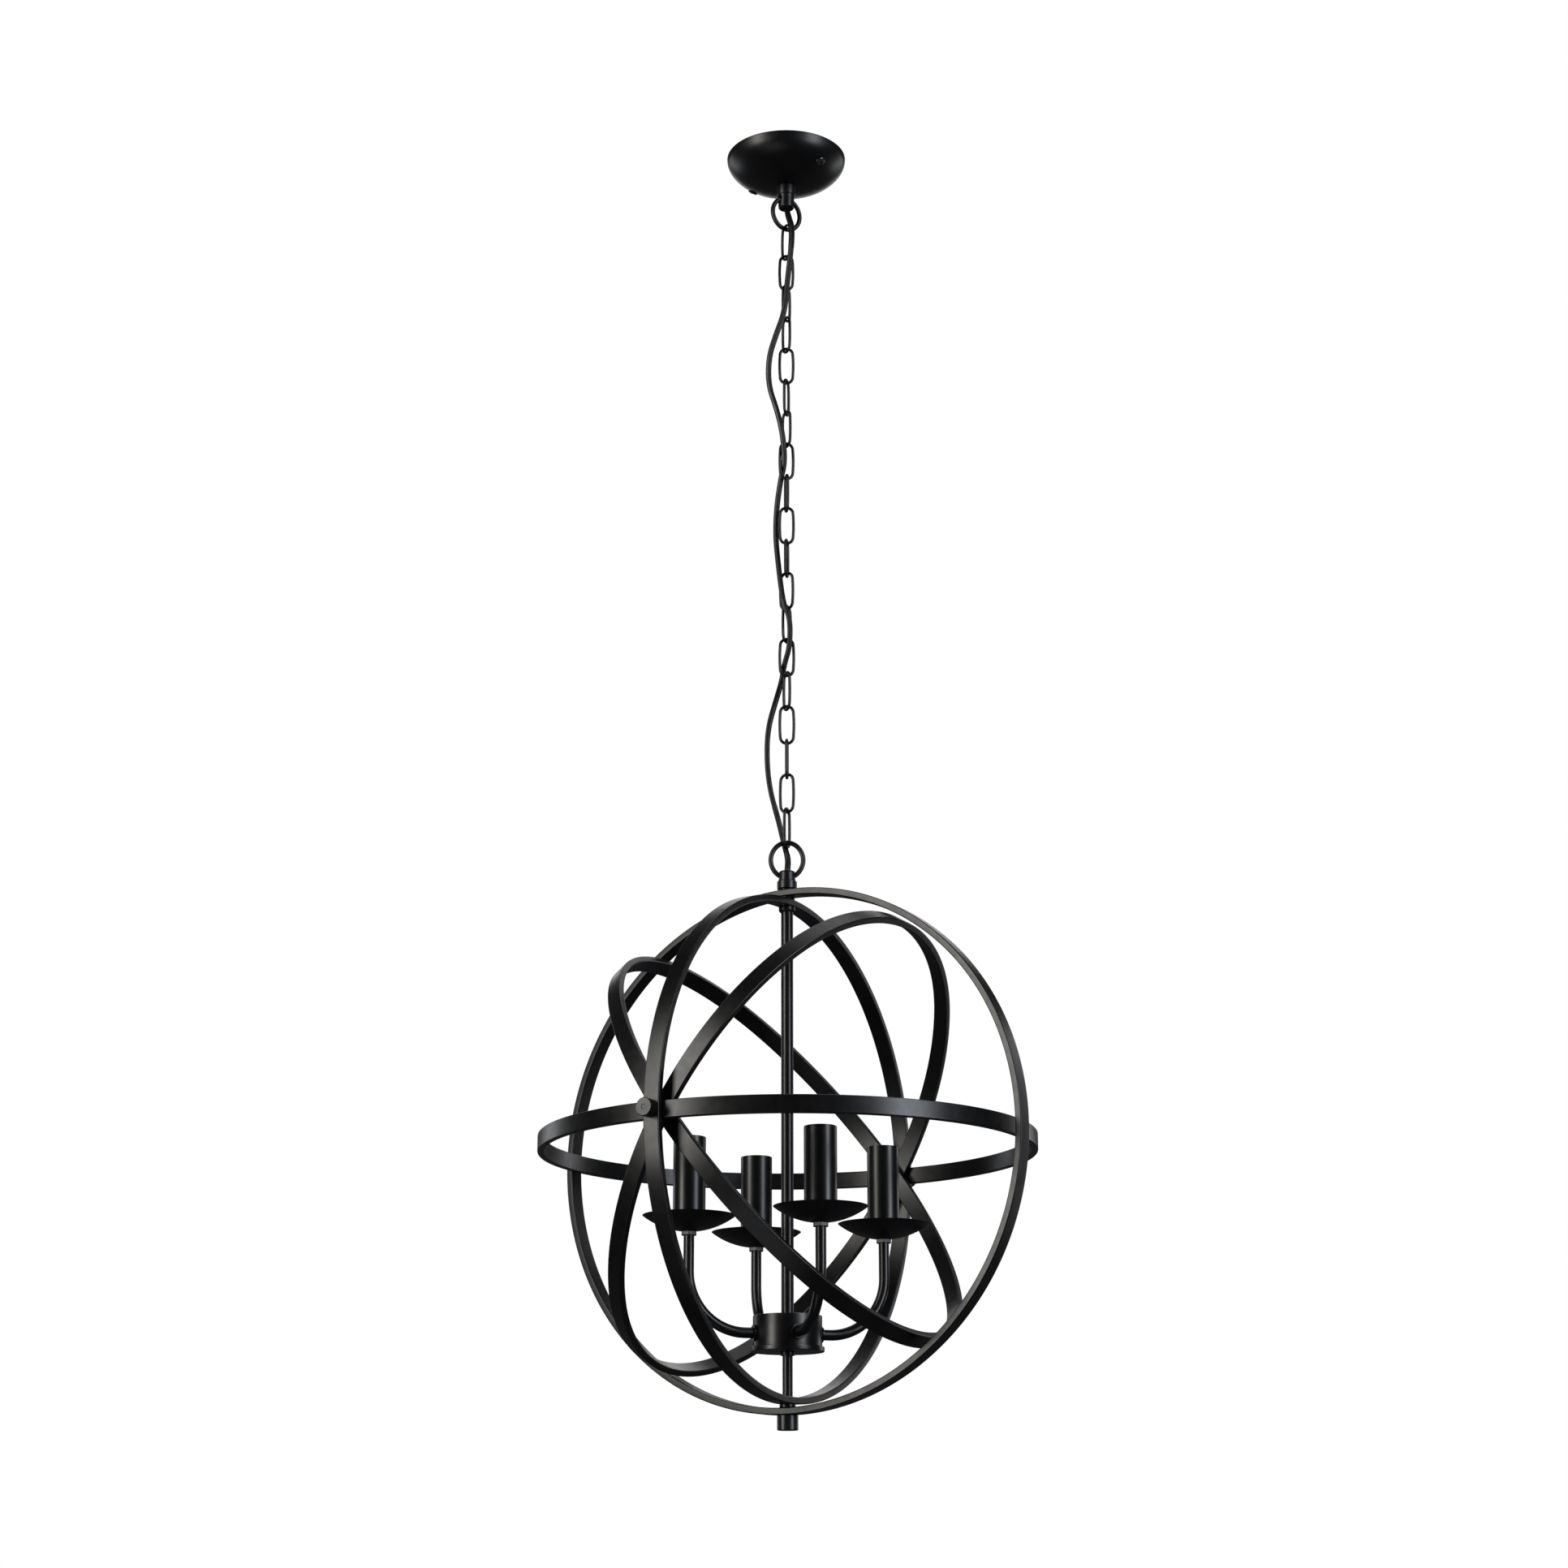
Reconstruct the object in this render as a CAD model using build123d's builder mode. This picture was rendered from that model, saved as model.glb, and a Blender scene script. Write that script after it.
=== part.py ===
from build123d import *
import os
from math import atan2, cos, pi, radians, sin, sqrt, tan

# Orb chandelier: five flat steel rings round a cluster of four candle arms, hung on a link chain
# from a domed ceiling canopy. Millimetres. The origin is the middle of the canopy's rim, in the
# plane of the ceiling, +Z points up, and everything hangs below it.

os.makedirs("parts", exist_ok=True)

# ---- Driving dimensions ----

# Canopy, its ceiling bracket and its two fixing screws
canopy_diameter = 100.0
canopy_depth = 25.4
canopy_wall = 1.0
screw_rim_inset = 11.2
screw_azimuth = -42.7
screw_diameter = 4.0
screw_head_diameter = 5.8
screw_head_height = 2.2
screw_head_radius = 1.3
screw_hole_clearance = 0.2
screw_tip_gap = 0.5
ceiling_strap_end_margin = 6.0
canopy_strap_end_margin = 6.2
strap_width = 14.0
strap_thickness = 2.0
strap_wire_hole_diameter = 9.0
ceiling_slot_spacing = 44.0
ceiling_slot_length = 14.0
ceiling_slot_width = 4.6
terminal_length = 26.0
terminal_width = 14.0
terminal_height = 10.0
terminal_pole_spacing = 8.0
terminal_corner_radius = 1.5
terminal_wire_hole_diameter = 3.4
terminal_screw_well_diameter = 3.0
terminal_screw_well_depth = 4.0

# Collars that carry the loop rings, under the canopy and on top of the orb
collar_neck_diameter = 13.4
collar_step = 1.1
collar_bore_diameter = 5.2
collar_mouth_radius = 2.0
collar_base_edge = 0.6
collar_hole_margin = 0.3
canopy_collar_base_height = 9.0
canopy_collar_neck_height = 11.8
canopy_stud_diameter = 10.0
canopy_stud_length = 7.5
canopy_nut_width = 14.0
canopy_nut_height = 4.0
stem_collar_base_height = 6.7
stem_collar_neck_height = 8.1

# Loop rings and chain
loop_half_width = 12.7
loop_half_height = 14.2
loop_wire = 3.8
loop_hole_clearance = 0.2
top_loop_azimuth = 28.0
bottom_loop_azimuth = 0.0
link_inner_length = 28.66
link_outer_width = 13.6
link_wire = 2.4
link_leg_bow = 0.4
link_joint_gap = 0.15
chain_contact_gap = 0.3
link_azimuths = [-54, 0, 59, -59, 0, 71, -56, 13, -79, 0, 79, -26, 57, 0, -65, 0, 86, -20, 69]
link_count = len(link_azimuths)

# Supply cord, woven down the chain by hand: x, y and z of its corners. It stops just short of both
# collars, so that they can swing.
cord_diameter = 4.4
cord_corner_share = 0.45
cord_points = [
    (0.8, -0.8, -48.8),
    (2.1, -5.9, -57.2),
    (5.3, -8.8, -69.6),
    (3.6, -8.0, -91.7),
    (0.6, -7.6, -120.4),
    (-1.6, -8.4, -146.5),
    (-8.6, -7.0, -165.7),
    (-14.7, -5.3, -185.9),
    (-14.8, -3.6, -210.1),
    (-8.3, -5.4, -231.1),
    (-3.3, -7.5, -253.2),
    (-1.2, -0.7, -276.1),
    (-4.6, 5.0, -289.0),
    (-8.1, 6.1, -313.6),
    (-9.0, 4.1, -340.4),
    (-6.8, 0.1, -365.9),
    (-4.5, -4.3, -388.1),
    (-2.3, -8.0, -403.7),
    (2.8, -7.6, -415.8),
    (2.5, -2.8, -437.7),
    (-2.1, 2.7, -451.2),
    (-4.0, 9.3, -463.0),
    (-8.1, 3.9, -479.2),
    (-15.3, 1.3, -505.6),
    (-15.9, 1.6, -534.3),
    (-13.1, 2.1, -558.0),
    (-6.7, 4.0, -580.2),
    (-2.2, 6.5, -599.7),
    (1.0, 4.7, -612.1),
    (0.7, 0.8, -620.7),
]

# Rings of the orb, all cut from one flat bar
bar_width = 13.0
bar_thickness = 5.2
bar_edge = 0.8
pivot_ring_reach = 192.2
pivot_azimuth = 60.0
outer_ring_pole_gap = 2.6
outer_ring_side_swell = 3.0
outer_ring_azimuth = 148.0
equator_ring_inset = 1.5
equator_ring_tilt = 0.0
middle_ring_swell = 0.9
middle_ring_tilt = -58.7
inner_ring_inset = 3.6
inner_ring_tilt = 53.8
pivot_gap = 0.4

# Pivot bolts and their nuts
pivot_bolt_diameter = 5.0
pivot_head_diameter = 13.2
pivot_head_height = 9.5
pivot_head_edge = 0.5
pivot_nut_width = 8.0
pivot_nut_height = 4.0
pivot_bolt_end = 1.0
running_clearance = 0.05

# Stem through the poles of the orb, with its washers and nuts
stem_diameter = 9.4
stem_wall = 1.2
lower_stem_diameter = 7.6
spigot_length = 8.0
stack_gap = 0.15
washer_diameter = 13.0
washer_thickness = 0.8
spacer_diameter = 12.0
stem_nut_diameter = 12.9
stem_nut_height = 4.2
stem_nut_edge = 1.2
finial_diameter = 15.8
finial_height = 10.9
finial_thread_depth = 7.0
finial_edge = 0.5

# Hub that the arms grow from
hub_top_drop = 127.6
hub_height = 26.6
hub_diameter = 51.8
hub_wall = 1.2
hub_shoulder_radius = 1.6
hub_cover_lip = 1.7
hub_cover_height = 3.7
hub_cover_edge = 0.8
hub_stem_reach = 7.0
hub_nut_diameter = 15.0
hub_nut_height = 3.0
cover_nut_diameter = 11.0
cover_nut_height = 2.6

# Candle arms, drip cups, candle sleeves and lamp holders
arm_count = 4
arm_azimuth = 18.3
arm_radius = 77.3
arm_height_in_hub = 13.3
arm_tube_diameter = 8.0
arm_tube_wall = 1.0
arm_straight_length = 6.1
arm_inner_end_radius = 19.0
arm_tip_above_cup = 5.0
ferrule_diameter = 12.0
ferrule_thickness = 1.5
cup_bottom_rise = 59.9
cup_diameter = 70.0
cup_depth = 11.9
cup_wall = 0.9
cup_nut_width = 11.0
cup_nut_height = 3.0
sleeve_diameter = 24.4
sleeve_wall = 1.0
sleeve_length = 68.2
sleeve_edge = 0.45
holder_clearance = 0.3
holder_recess = 1.0
holder_foot_diameter = 16.0
holder_foot_height = 24.0
holder_collar_height = 5.0
socket_diameter = 13.9
socket_depth = 24.0
contact_well_diameter = 6.0
contact_well_depth = 1.5

# ---- Places worked out from the driving dimensions ----

def oval_arcs(reach_x, reach_y):
    """Four tangent arcs that make an oval: the start, middle and end point of each."""
    shift = abs(reach_x - reach_y) / (2 - sqrt(2))
    corner = (max(reach_x, reach_y) - shift) / sqrt(2)
    corner_x = corner + shift if reach_x > reach_y else corner
    corner_y = corner + shift if reach_y > reach_x else corner
    return [
        ((corner_x, -corner_y), (reach_x, 0), (corner_x, corner_y)),
        ((corner_x, corner_y), (0, reach_y), (-corner_x, corner_y)),
        ((-corner_x, corner_y), (-reach_x, 0), (-corner_x, -corner_y)),
        ((-corner_x, -corner_y), (0, -reach_y), (corner_x, -corner_y)),
    ]


# The end bend of a loop ring passes through a collar's straight cross hole. The hole reaches from
# the crown of the wire to the wire's inner side where it leaves the neck.
loop_end_radius = loop_half_height - (loop_half_height - loop_half_width) / (2 - sqrt(2))
bend_inner_radius = loop_end_radius - loop_wire / 2
bend_depth = loop_end_radius - sqrt(bend_inner_radius**2 - (collar_neck_diameter / 2) ** 2)
cross_hole_radius = (bend_depth + loop_wire / 2) / 2 + loop_hole_clearance
hole_to_crown = (bend_depth - loop_wire / 2) / 2

screw_circle_diameter = canopy_diameter - 2 * screw_rim_inset
canopy_strap_length = screw_circle_diameter + 2 * canopy_strap_end_margin
ceiling_strap_length = ceiling_slot_spacing + ceiling_slot_length + 2 * ceiling_strap_end_margin
collar_base_diameter = collar_neck_diameter + 2 * collar_step
link_half_width = (link_outer_width - link_wire) / 2
link_end_radius = link_half_width - link_leg_bow
stem_bore_diameter = stem_diameter - 2 * stem_wall
hub_cover_diameter = hub_diameter + 2 * hub_cover_lip
arm_tube_bore = arm_tube_diameter - 2 * arm_tube_wall
arm_bend_radius = arm_radius - hub_diameter / 2 - ferrule_thickness - arm_straight_length

# Each ring's reach square to the pivots is set against the pivot ring's.
outer_ring_pole_reach = pivot_ring_reach + outer_ring_pole_gap + bar_thickness
outer_ring_side_reach = outer_ring_pole_reach + outer_ring_side_swell
equator_ring_reach = pivot_ring_reach - equator_ring_inset
middle_ring_reach = pivot_ring_reach + middle_ring_swell
inner_ring_reach = pivot_ring_reach - inner_ring_inset

canopy_collar_top_z = -canopy_depth
canopy_collar_base_z = canopy_collar_top_z - canopy_collar_base_height
canopy_collar_mouth_z = canopy_collar_base_z - canopy_collar_neck_height
top_hole_z = canopy_collar_base_z - collar_hole_margin - cross_hole_radius
top_loop_z = top_hole_z + hole_to_crown - loop_half_height

link_pitch = link_inner_length - chain_contact_gap
first_link_z = (
    top_loop_z - loop_half_height + loop_wire / 2 + chain_contact_gap - link_inner_length / 2
)
last_link_z = first_link_z - (link_count - 1) * link_pitch
bottom_loop_z = (
    last_link_z - link_inner_length / 2 + chain_contact_gap + loop_wire / 2 - loop_half_height
)

bottom_hole_z = bottom_loop_z - loop_half_height + hole_to_crown
stem_collar_mouth_z = bottom_hole_z + cross_hole_radius + collar_hole_margin
stem_collar_base_z = stem_collar_mouth_z - stem_collar_neck_height
stem_collar_foot_z = stem_collar_base_z - stem_collar_base_height
orb_z = stem_collar_foot_z - washer_thickness - stack_gap - outer_ring_pole_reach
orb_centre = (0, 0, orb_z)

hub_top_z = orb_z - hub_top_drop
hub_bottom_z = hub_top_z - hub_height
arm_z = hub_bottom_z + arm_height_in_hub
cup_z = hub_top_z + cup_bottom_rise
cup_sphere_radius = ((cup_diameter / 2) ** 2 + cup_depth**2) / (2 * cup_depth)
cup_sphere_z = cup_z + cup_sphere_radius
cup_inner_radius = cup_sphere_radius - cup_wall
sleeve_z = cup_sphere_z - sqrt(cup_inner_radius**2 - (sleeve_diameter / 2) ** 2)
sleeve_top_z = sleeve_z + sleeve_length
holder_z = cup_sphere_z - sqrt(cup_inner_radius**2 - (holder_foot_diameter / 2) ** 2)
holder_top_z = sleeve_top_z - holder_recess
holder_diameter = sleeve_diameter - 2 * sleeve_wall - 2 * holder_clearance

pivot_direction = Vector(cos(radians(pivot_azimuth)), sin(radians(pivot_azimuth)), 0)
pivot_ring_inner = pivot_ring_reach - bar_thickness
equator_pivot_reach = pivot_ring_inner - pivot_gap
middle_pivot_reach = equator_pivot_reach - bar_thickness - pivot_gap
inner_pivot_reach = middle_pivot_reach - bar_thickness - pivot_gap
pivot_nut_reach = inner_pivot_reach - bar_thickness - pivot_gap
pivot_hole_radius = pivot_bolt_diameter / 2 + running_clearance


def save(piece, name):
    """Label a finished piece and write it as its own file."""
    piece.part.label = name
    export_step(piece.part, f"parts/{name}.step")


def turned(azimuth, height=0.0):
    """Level plane at a height, with its X axis turned to an azimuth about Z."""
    direction = (cos(radians(azimuth)), sin(radians(azimuth)), 0)
    return Plane(origin=(0, 0, height), x_dir=direction, z_dir=(0, 0, 1))


def upright(azimuth, height=0.0):
    """Upright plane through the Z axis: X along the azimuth, Y up."""
    direction = (cos(radians(azimuth)), sin(radians(azimuth)), 0)
    normal = (sin(radians(azimuth)), -cos(radians(azimuth)), 0)
    return Plane(origin=(0, 0, height), x_dir=direction, z_dir=normal)


def arm_plane(index, height):
    """Level plane on the axis of one candle."""
    azimuth = radians(arm_azimuth + index * 360 / arm_count)
    return Plane(origin=(arm_radius * cos(azimuth), arm_radius * sin(azimuth), height))


# ---- Canopy and what it hides ----

with BuildPart() as canopy:
    with BuildSketch(Plane.XZ):
        with BuildLine():
            outer = EllipticalCenterArc(
                (0, 0), canopy_diameter / 2, canopy_depth, start_angle=270, arc_size=90
            )
            inner = EllipticalCenterArc(
                (0, 0),
                canopy_diameter / 2 - canopy_wall,
                canopy_depth - canopy_wall,
                start_angle=270,
                arc_size=90,
            )
            Line(outer @ 0, inner @ 0)
            Line(outer @ 1, inner @ 1)
        make_face()
    revolve(axis=Axis.Z)
    with BuildSketch(turned(screw_azimuth)):
        Circle(canopy_stud_diameter / 2 + screw_hole_clearance)
        with PolarLocations(screw_circle_diameter / 2, 2):
            Circle(screw_diameter / 2 + screw_hole_clearance)
    extrude(amount=-canopy_depth - 1, mode=Mode.SUBTRACT)
save(canopy, "canopy")

# Two crossed straps: the upper one is screwed to the ceiling, the lower one takes the canopy's screws.
with BuildPart() as ceiling_bracket:
    with BuildSketch():
        SlotOverall(ceiling_strap_length, strap_width)
        with GridLocations(ceiling_slot_spacing, 1, 2, 1):
            SlotOverall(ceiling_slot_length, ceiling_slot_width, mode=Mode.SUBTRACT)
        Circle(strap_wire_hole_diameter / 2, mode=Mode.SUBTRACT)
    extrude(amount=-strap_thickness)
    with BuildSketch(turned(screw_azimuth, -strap_thickness)):
        SlotOverall(canopy_strap_length, strap_width)
        with PolarLocations(screw_circle_diameter / 2, 2):
            Circle(screw_diameter / 2, mode=Mode.SUBTRACT)
        Circle(strap_wire_hole_diameter / 2, mode=Mode.SUBTRACT)
    extrude(amount=-strap_thickness, mode=Mode.ADD)
save(ceiling_bracket, "ceiling_bracket")

# Each screw head hangs just under the highest part of the dome that it covers.
head_inner_radius = screw_circle_diameter / 2 - screw_head_diameter / 2
head_z = -canopy_depth * sqrt(1 - (head_inner_radius / (canopy_diameter / 2)) ** 2)

with BuildPart() as canopy_screws:
    with BuildSketch(turned(screw_azimuth, head_z)):
        with PolarLocations(screw_circle_diameter / 2, 2):
            Circle(screw_head_diameter / 2)
    extrude(amount=-screw_head_height)
    fillet(canopy_screws.edges().group_by(Axis.Z)[0], radius=screw_head_radius)
    with BuildSketch(turned(screw_azimuth, head_z)):
        with PolarLocations(screw_circle_diameter / 2, 2):
            Circle(screw_diameter / 2)
    extrude(amount=-head_z - screw_tip_gap)
save(canopy_screws, "canopy_screws")

terminal_top_z = -2 * strap_thickness
with BuildPart() as terminal_block:
    with BuildSketch(turned(screw_azimuth, terminal_top_z)):
        RectangleRounded(terminal_length, terminal_width, terminal_corner_radius)
    extrude(amount=-terminal_height)
    with BuildSketch(turned(screw_azimuth, terminal_top_z - terminal_height)):
        with GridLocations(terminal_pole_spacing, terminal_width / 2, 3, 2):
            Circle(terminal_screw_well_diameter / 2)
    extrude(amount=terminal_screw_well_depth, mode=Mode.SUBTRACT)
    with BuildSketch(upright(screw_azimuth, terminal_top_z - terminal_height / 2)):
        with GridLocations(terminal_pole_spacing, 1, 3, 1):
            Circle(terminal_wire_hole_diameter / 2)
    extrude(amount=terminal_width, both=True, mode=Mode.SUBTRACT)
save(terminal_block, "terminal_block")


def collar_section(foot_z, base_height, neck_height, up):
    """Half section of a collar: its base at the foot, then a neck with a rounded mouth."""
    shoulder_z = foot_z + up * base_height
    mouth_z = shoulder_z + up * neck_height
    with BuildSketch(Plane.XZ) as section:
        with BuildLine():
            Polyline(
                (collar_bore_diameter / 2, foot_z),
                (collar_base_diameter / 2, foot_z),
                (collar_base_diameter / 2, shoulder_z),
                (collar_neck_diameter / 2, shoulder_z),
                (collar_neck_diameter / 2, mouth_z),
                (collar_bore_diameter / 2, mouth_z),
                close=True,
            )
        make_face()
        mouth = section.vertices().group_by(Axis.X)[1].sort_by(Axis.Y)
        fillet(mouth[-1] if up > 0 else mouth[0], radius=collar_mouth_radius)
        chamfer(section.vertices().group_by(Axis.X)[-1], length=collar_base_edge)
    return section.sketch


canopy_collar_profile = collar_section(
    canopy_collar_top_z, canopy_collar_base_height, canopy_collar_neck_height, -1
)
with BuildPart() as canopy_collar:
    revolve(canopy_collar_profile, axis=Axis.Z)
    with BuildSketch(Plane.XY.offset(canopy_collar_top_z)):
        Circle(canopy_stud_diameter / 2)
        Circle(collar_bore_diameter / 2, mode=Mode.SUBTRACT)
    extrude(amount=canopy_stud_length)
    with BuildSketch(upright(top_loop_azimuth + 90, top_hole_z)):
        Circle(cross_hole_radius)
    extrude(amount=collar_neck_diameter, both=True, mode=Mode.SUBTRACT)
save(canopy_collar, "canopy_collar")

# The nut's corners rest on the inside of the dome.
nut_corner_radius = canopy_nut_width / sqrt(3)
nut_rise = (canopy_depth - canopy_wall) * sqrt(
    1 - (nut_corner_radius / (canopy_diameter / 2 - canopy_wall)) ** 2
)
with BuildPart() as canopy_nut:
    with BuildSketch(Plane.XY.offset(-nut_rise)):
        RegularPolygon(canopy_nut_width / 2, 6, major_radius=False)
        Circle(canopy_stud_diameter / 2, mode=Mode.SUBTRACT)
    extrude(amount=canopy_nut_height)
save(canopy_nut, "canopy_nut")

# ---- Loop rings and chain ----


def loop_ring(azimuth, height):
    """Round wire bent to a slightly tall loop, closed at its lower end."""
    with BuildPart() as ring:
        with BuildLine(upright(azimuth, height)) as path:
            for start, middle, end in oval_arcs(loop_half_width, loop_half_height):
                ThreePointArc(start, middle, end)
        with BuildSketch(Plane(origin=path.line @ 0, z_dir=path.line % 0)):
            Circle(loop_wire / 2)
        sweep()
    return ring


save(loop_ring(top_loop_azimuth, top_loop_z), "top_loop_ring")
save(loop_ring(bottom_loop_azimuth, bottom_loop_z), "bottom_loop_ring")


def chain_link(azimuth, height):
    """Wire link with round ends and long bowed legs; its two ends butt in the middle of a leg."""
    half_length = (link_inner_length + link_wire) / 2
    end_centre = half_length - link_end_radius
    leg_radius = (link_half_width**2 + end_centre**2 - link_end_radius**2) / (2 * link_leg_bow)
    lean = atan2(end_centre, leg_radius - link_half_width)
    corner_x = link_end_radius * cos(lean)
    corner_y = end_centre + link_end_radius * sin(lean)
    seam = link_joint_gap / 2
    plane = upright(azimuth, height)
    with BuildPart() as link:
        with BuildLine(plane) as path:
            RadiusArc((link_half_width, seam), (corner_x, corner_y), -leg_radius)
            ThreePointArc((corner_x, corner_y), (0, half_length), (-corner_x, corner_y))
            ThreePointArc((-corner_x, corner_y), (-link_half_width, 0), (-corner_x, -corner_y))
            ThreePointArc((-corner_x, -corner_y), (0, -half_length), (corner_x, -corner_y))
            RadiusArc((corner_x, -corner_y), (link_half_width, -seam), -leg_radius)
        with BuildSketch(Plane(origin=path.line @ 0, x_dir=plane.z_dir, z_dir=path.line % 0)):
            Circle(link_wire / 2)
        sweep()
    return link


for index in range(link_count):
    link = chain_link(link_azimuths[index], first_link_z - index * link_pitch)
    save(link, f"link_{index + 1:02d}")

# ---- Supply cord ----

cord_corners = [Vector(*point) for point in cord_points]
cord_radii = []
for before, corner, after in zip(cord_corners, cord_corners[1:], cord_corners[2:]):
    shorter_run = min((corner - before).length, (after - corner).length)
    half_turn = radians((corner - before).get_angle(after - corner)) / 2
    cord_radii.append(cord_corner_share * shorter_run / tan(half_turn))
print("cord radii", [round(radius, 1) for radius in cord_radii])

with BuildPart() as supply_cord:
    with BuildLine() as route:
        FilletPolyline(*cord_corners, radius=cord_radii)
    with BuildSketch(Plane(origin=route.line @ 0, z_dir=route.line % 0)):
        Circle(cord_diameter / 2)
    sweep()
cord_length = sum(edge.length for edge in route.edges())
print("cord length", round(cord_length, 1))
cord_section = pi * cord_diameter**2 / 4
print("cord volume over section times length", supply_cord.part.volume / (cord_section * cord_length))
save(supply_cord, "supply_cord")

# ---- Stem, from the collar on top of the orb to the finial below it ----

stem_top_z = bottom_hole_z - cross_hole_radius - collar_hole_margin
stem_collar_profile = collar_section(
    stem_collar_foot_z, stem_collar_base_height, stem_collar_neck_height, 1
)
with BuildPart() as stem_collar:
    revolve(stem_collar_profile, axis=Axis.Z)
    with BuildSketch(Plane.XY.offset(stem_collar_foot_z)):
        Circle(stem_diameter / 2)
    extrude(amount=stem_top_z - stem_collar_foot_z, mode=Mode.SUBTRACT)
    with BuildSketch(upright(bottom_loop_azimuth + 90, bottom_hole_z)):
        Circle(cross_hole_radius)
    extrude(amount=collar_neck_diameter, both=True, mode=Mode.SUBTRACT)
save(stem_collar, "stem_collar")

with BuildPart() as centre_stem:
    with BuildSketch(Plane.XY.offset(stem_top_z)):
        Circle(stem_diameter / 2)
        Circle(stem_bore_diameter / 2, mode=Mode.SUBTRACT)
    extrude(amount=hub_top_z - hub_wall - hub_stem_reach - stem_top_z)
save(centre_stem, "centre_stem")

# A ring's bar curves away from the stem, so washers and nuts keep clear of it at their own rims.


def sag(reach, radius):
    """Drop of a round bar's face at a distance from its pole."""
    return reach - sqrt(reach**2 - radius**2)


outer_ring_inner = outer_ring_pole_reach - bar_thickness
spacer_inner_reach = pivot_ring_reach + stack_gap
spacer_outer_reach = outer_ring_inner - sag(outer_ring_inner, spacer_diameter / 2) - stack_gap
nut_reach = pivot_ring_inner - sag(pivot_ring_inner, stem_nut_diameter / 2) - stack_gap
stem_end_z = hub_top_z - hub_wall - hub_stem_reach

with BuildPart() as stem_hardware:
    # Round nut under the upper pole of the pivot ring
    with BuildSketch(Plane.XY.offset(orb_z + nut_reach)):
        Circle(stem_nut_diameter / 2)
        Circle(stem_diameter / 2, mode=Mode.SUBTRACT)
    extrude(amount=-stem_nut_height)
    nut_edges = stem_hardware.edges().group_by(Axis.Z)[0].sort_by(SortBy.LENGTH)
    chamfer(nut_edges[-1], length=stem_nut_edge)
    # Washer under the collar
    with BuildSketch(Plane.XY.offset(stem_collar_foot_z)):
        Circle(washer_diameter / 2)
        Circle(stem_diameter / 2, mode=Mode.SUBTRACT)
    extrude(amount=-washer_thickness)
    # Spacers between the two upright rings, at the top pole and at the bottom pole
    with BuildSketch(Plane.XY.offset(orb_z + spacer_inner_reach)):
        Circle(spacer_diameter / 2)
        Circle(stem_diameter / 2, mode=Mode.SUBTRACT)
    extrude(amount=spacer_outer_reach - spacer_inner_reach)
    with BuildSketch(Plane.XY.offset(orb_z - spacer_outer_reach)):
        Circle(spacer_diameter / 2)
        Circle(lower_stem_diameter / 2, mode=Mode.SUBTRACT)
    extrude(amount=spacer_outer_reach - spacer_inner_reach)
    # Lock nut inside the hub
    with BuildSketch(Plane.XY.offset(hub_top_z - hub_wall)):
        RegularPolygon(hub_nut_diameter / 2, 6)
        Circle(stem_diameter / 2, mode=Mode.SUBTRACT)
    extrude(amount=-hub_nut_height)
    # Round nut under the hub's cover
    with BuildSketch(Plane.XY.offset(hub_bottom_z)):
        Circle(cover_nut_diameter / 2)
        Circle(lower_stem_diameter / 2, mode=Mode.SUBTRACT)
    extrude(amount=-cover_nut_height)
save(stem_hardware, "stem_hardware")

finial_top_z = orb_z - outer_ring_pole_reach - stack_gap
with BuildPart() as lower_stem:
    with BuildSketch(Plane.XY.offset(stem_end_z)):
        Circle(lower_stem_diameter / 2)
    extrude(amount=finial_top_z - finial_thread_depth - stem_end_z)
    with BuildSketch(Plane.XY.offset(stem_end_z)):
        Circle(stem_bore_diameter / 2)
    extrude(amount=spigot_length)
save(lower_stem, "lower_stem")

with BuildPart() as bottom_finial:
    with BuildSketch(Plane.XY.offset(finial_top_z)):
        Circle(finial_diameter / 2)
    extrude(amount=-finial_height)
    fillet(bottom_finial.edges().filter_by(GeomType.CIRCLE), radius=finial_edge)
    with BuildSketch(Plane.XY.offset(finial_top_z)):
        Circle(lower_stem_diameter / 2)
    extrude(amount=-finial_thread_depth, mode=Mode.SUBTRACT)
save(bottom_finial, "bottom_finial")

# ---- Hub ----

with BuildPart() as hub_cup:
    with BuildSketch(Plane.XY.offset(hub_top_z)):
        Circle(hub_diameter / 2)
    extrude(amount=hub_wall - hub_height)
    fillet(hub_cup.edges().group_by(Axis.Z)[-1], radius=hub_shoulder_radius)
    with BuildSketch(Plane.XY.offset(hub_top_z - hub_wall)):
        Circle(hub_diameter / 2 - hub_wall)
    extrude(amount=hub_wall - hub_height, mode=Mode.SUBTRACT)
    with BuildSketch(Plane.XY.offset(hub_top_z)):
        Circle(stem_diameter / 2)
    extrude(amount=-hub_wall, mode=Mode.SUBTRACT)
    for index in range(arm_count):
        with BuildSketch(upright(arm_azimuth + 90 + index * 360 / arm_count, arm_z)):
            Circle(arm_tube_diameter / 2)
        extrude(amount=hub_diameter, mode=Mode.SUBTRACT)
save(hub_cup, "hub_cup")

with BuildPart() as hub_cover:
    with BuildSketch(Plane.XY.offset(hub_bottom_z)):
        Circle(hub_cover_diameter / 2)
    extrude(amount=hub_cover_height)
    fillet(hub_cover.edges().filter_by(GeomType.CIRCLE), radius=hub_cover_edge)
    with BuildSketch(Plane.XY.offset(hub_bottom_z + hub_wall)):
        Circle(hub_diameter / 2)
    extrude(amount=hub_cover_height, mode=Mode.SUBTRACT)
    with BuildSketch(Plane.XY.offset(hub_bottom_z)):
        Circle(lower_stem_diameter / 2)
    extrude(amount=hub_wall, mode=Mode.SUBTRACT)
save(hub_cover, "hub_cover")

# ---- Candle arms ----

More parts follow.
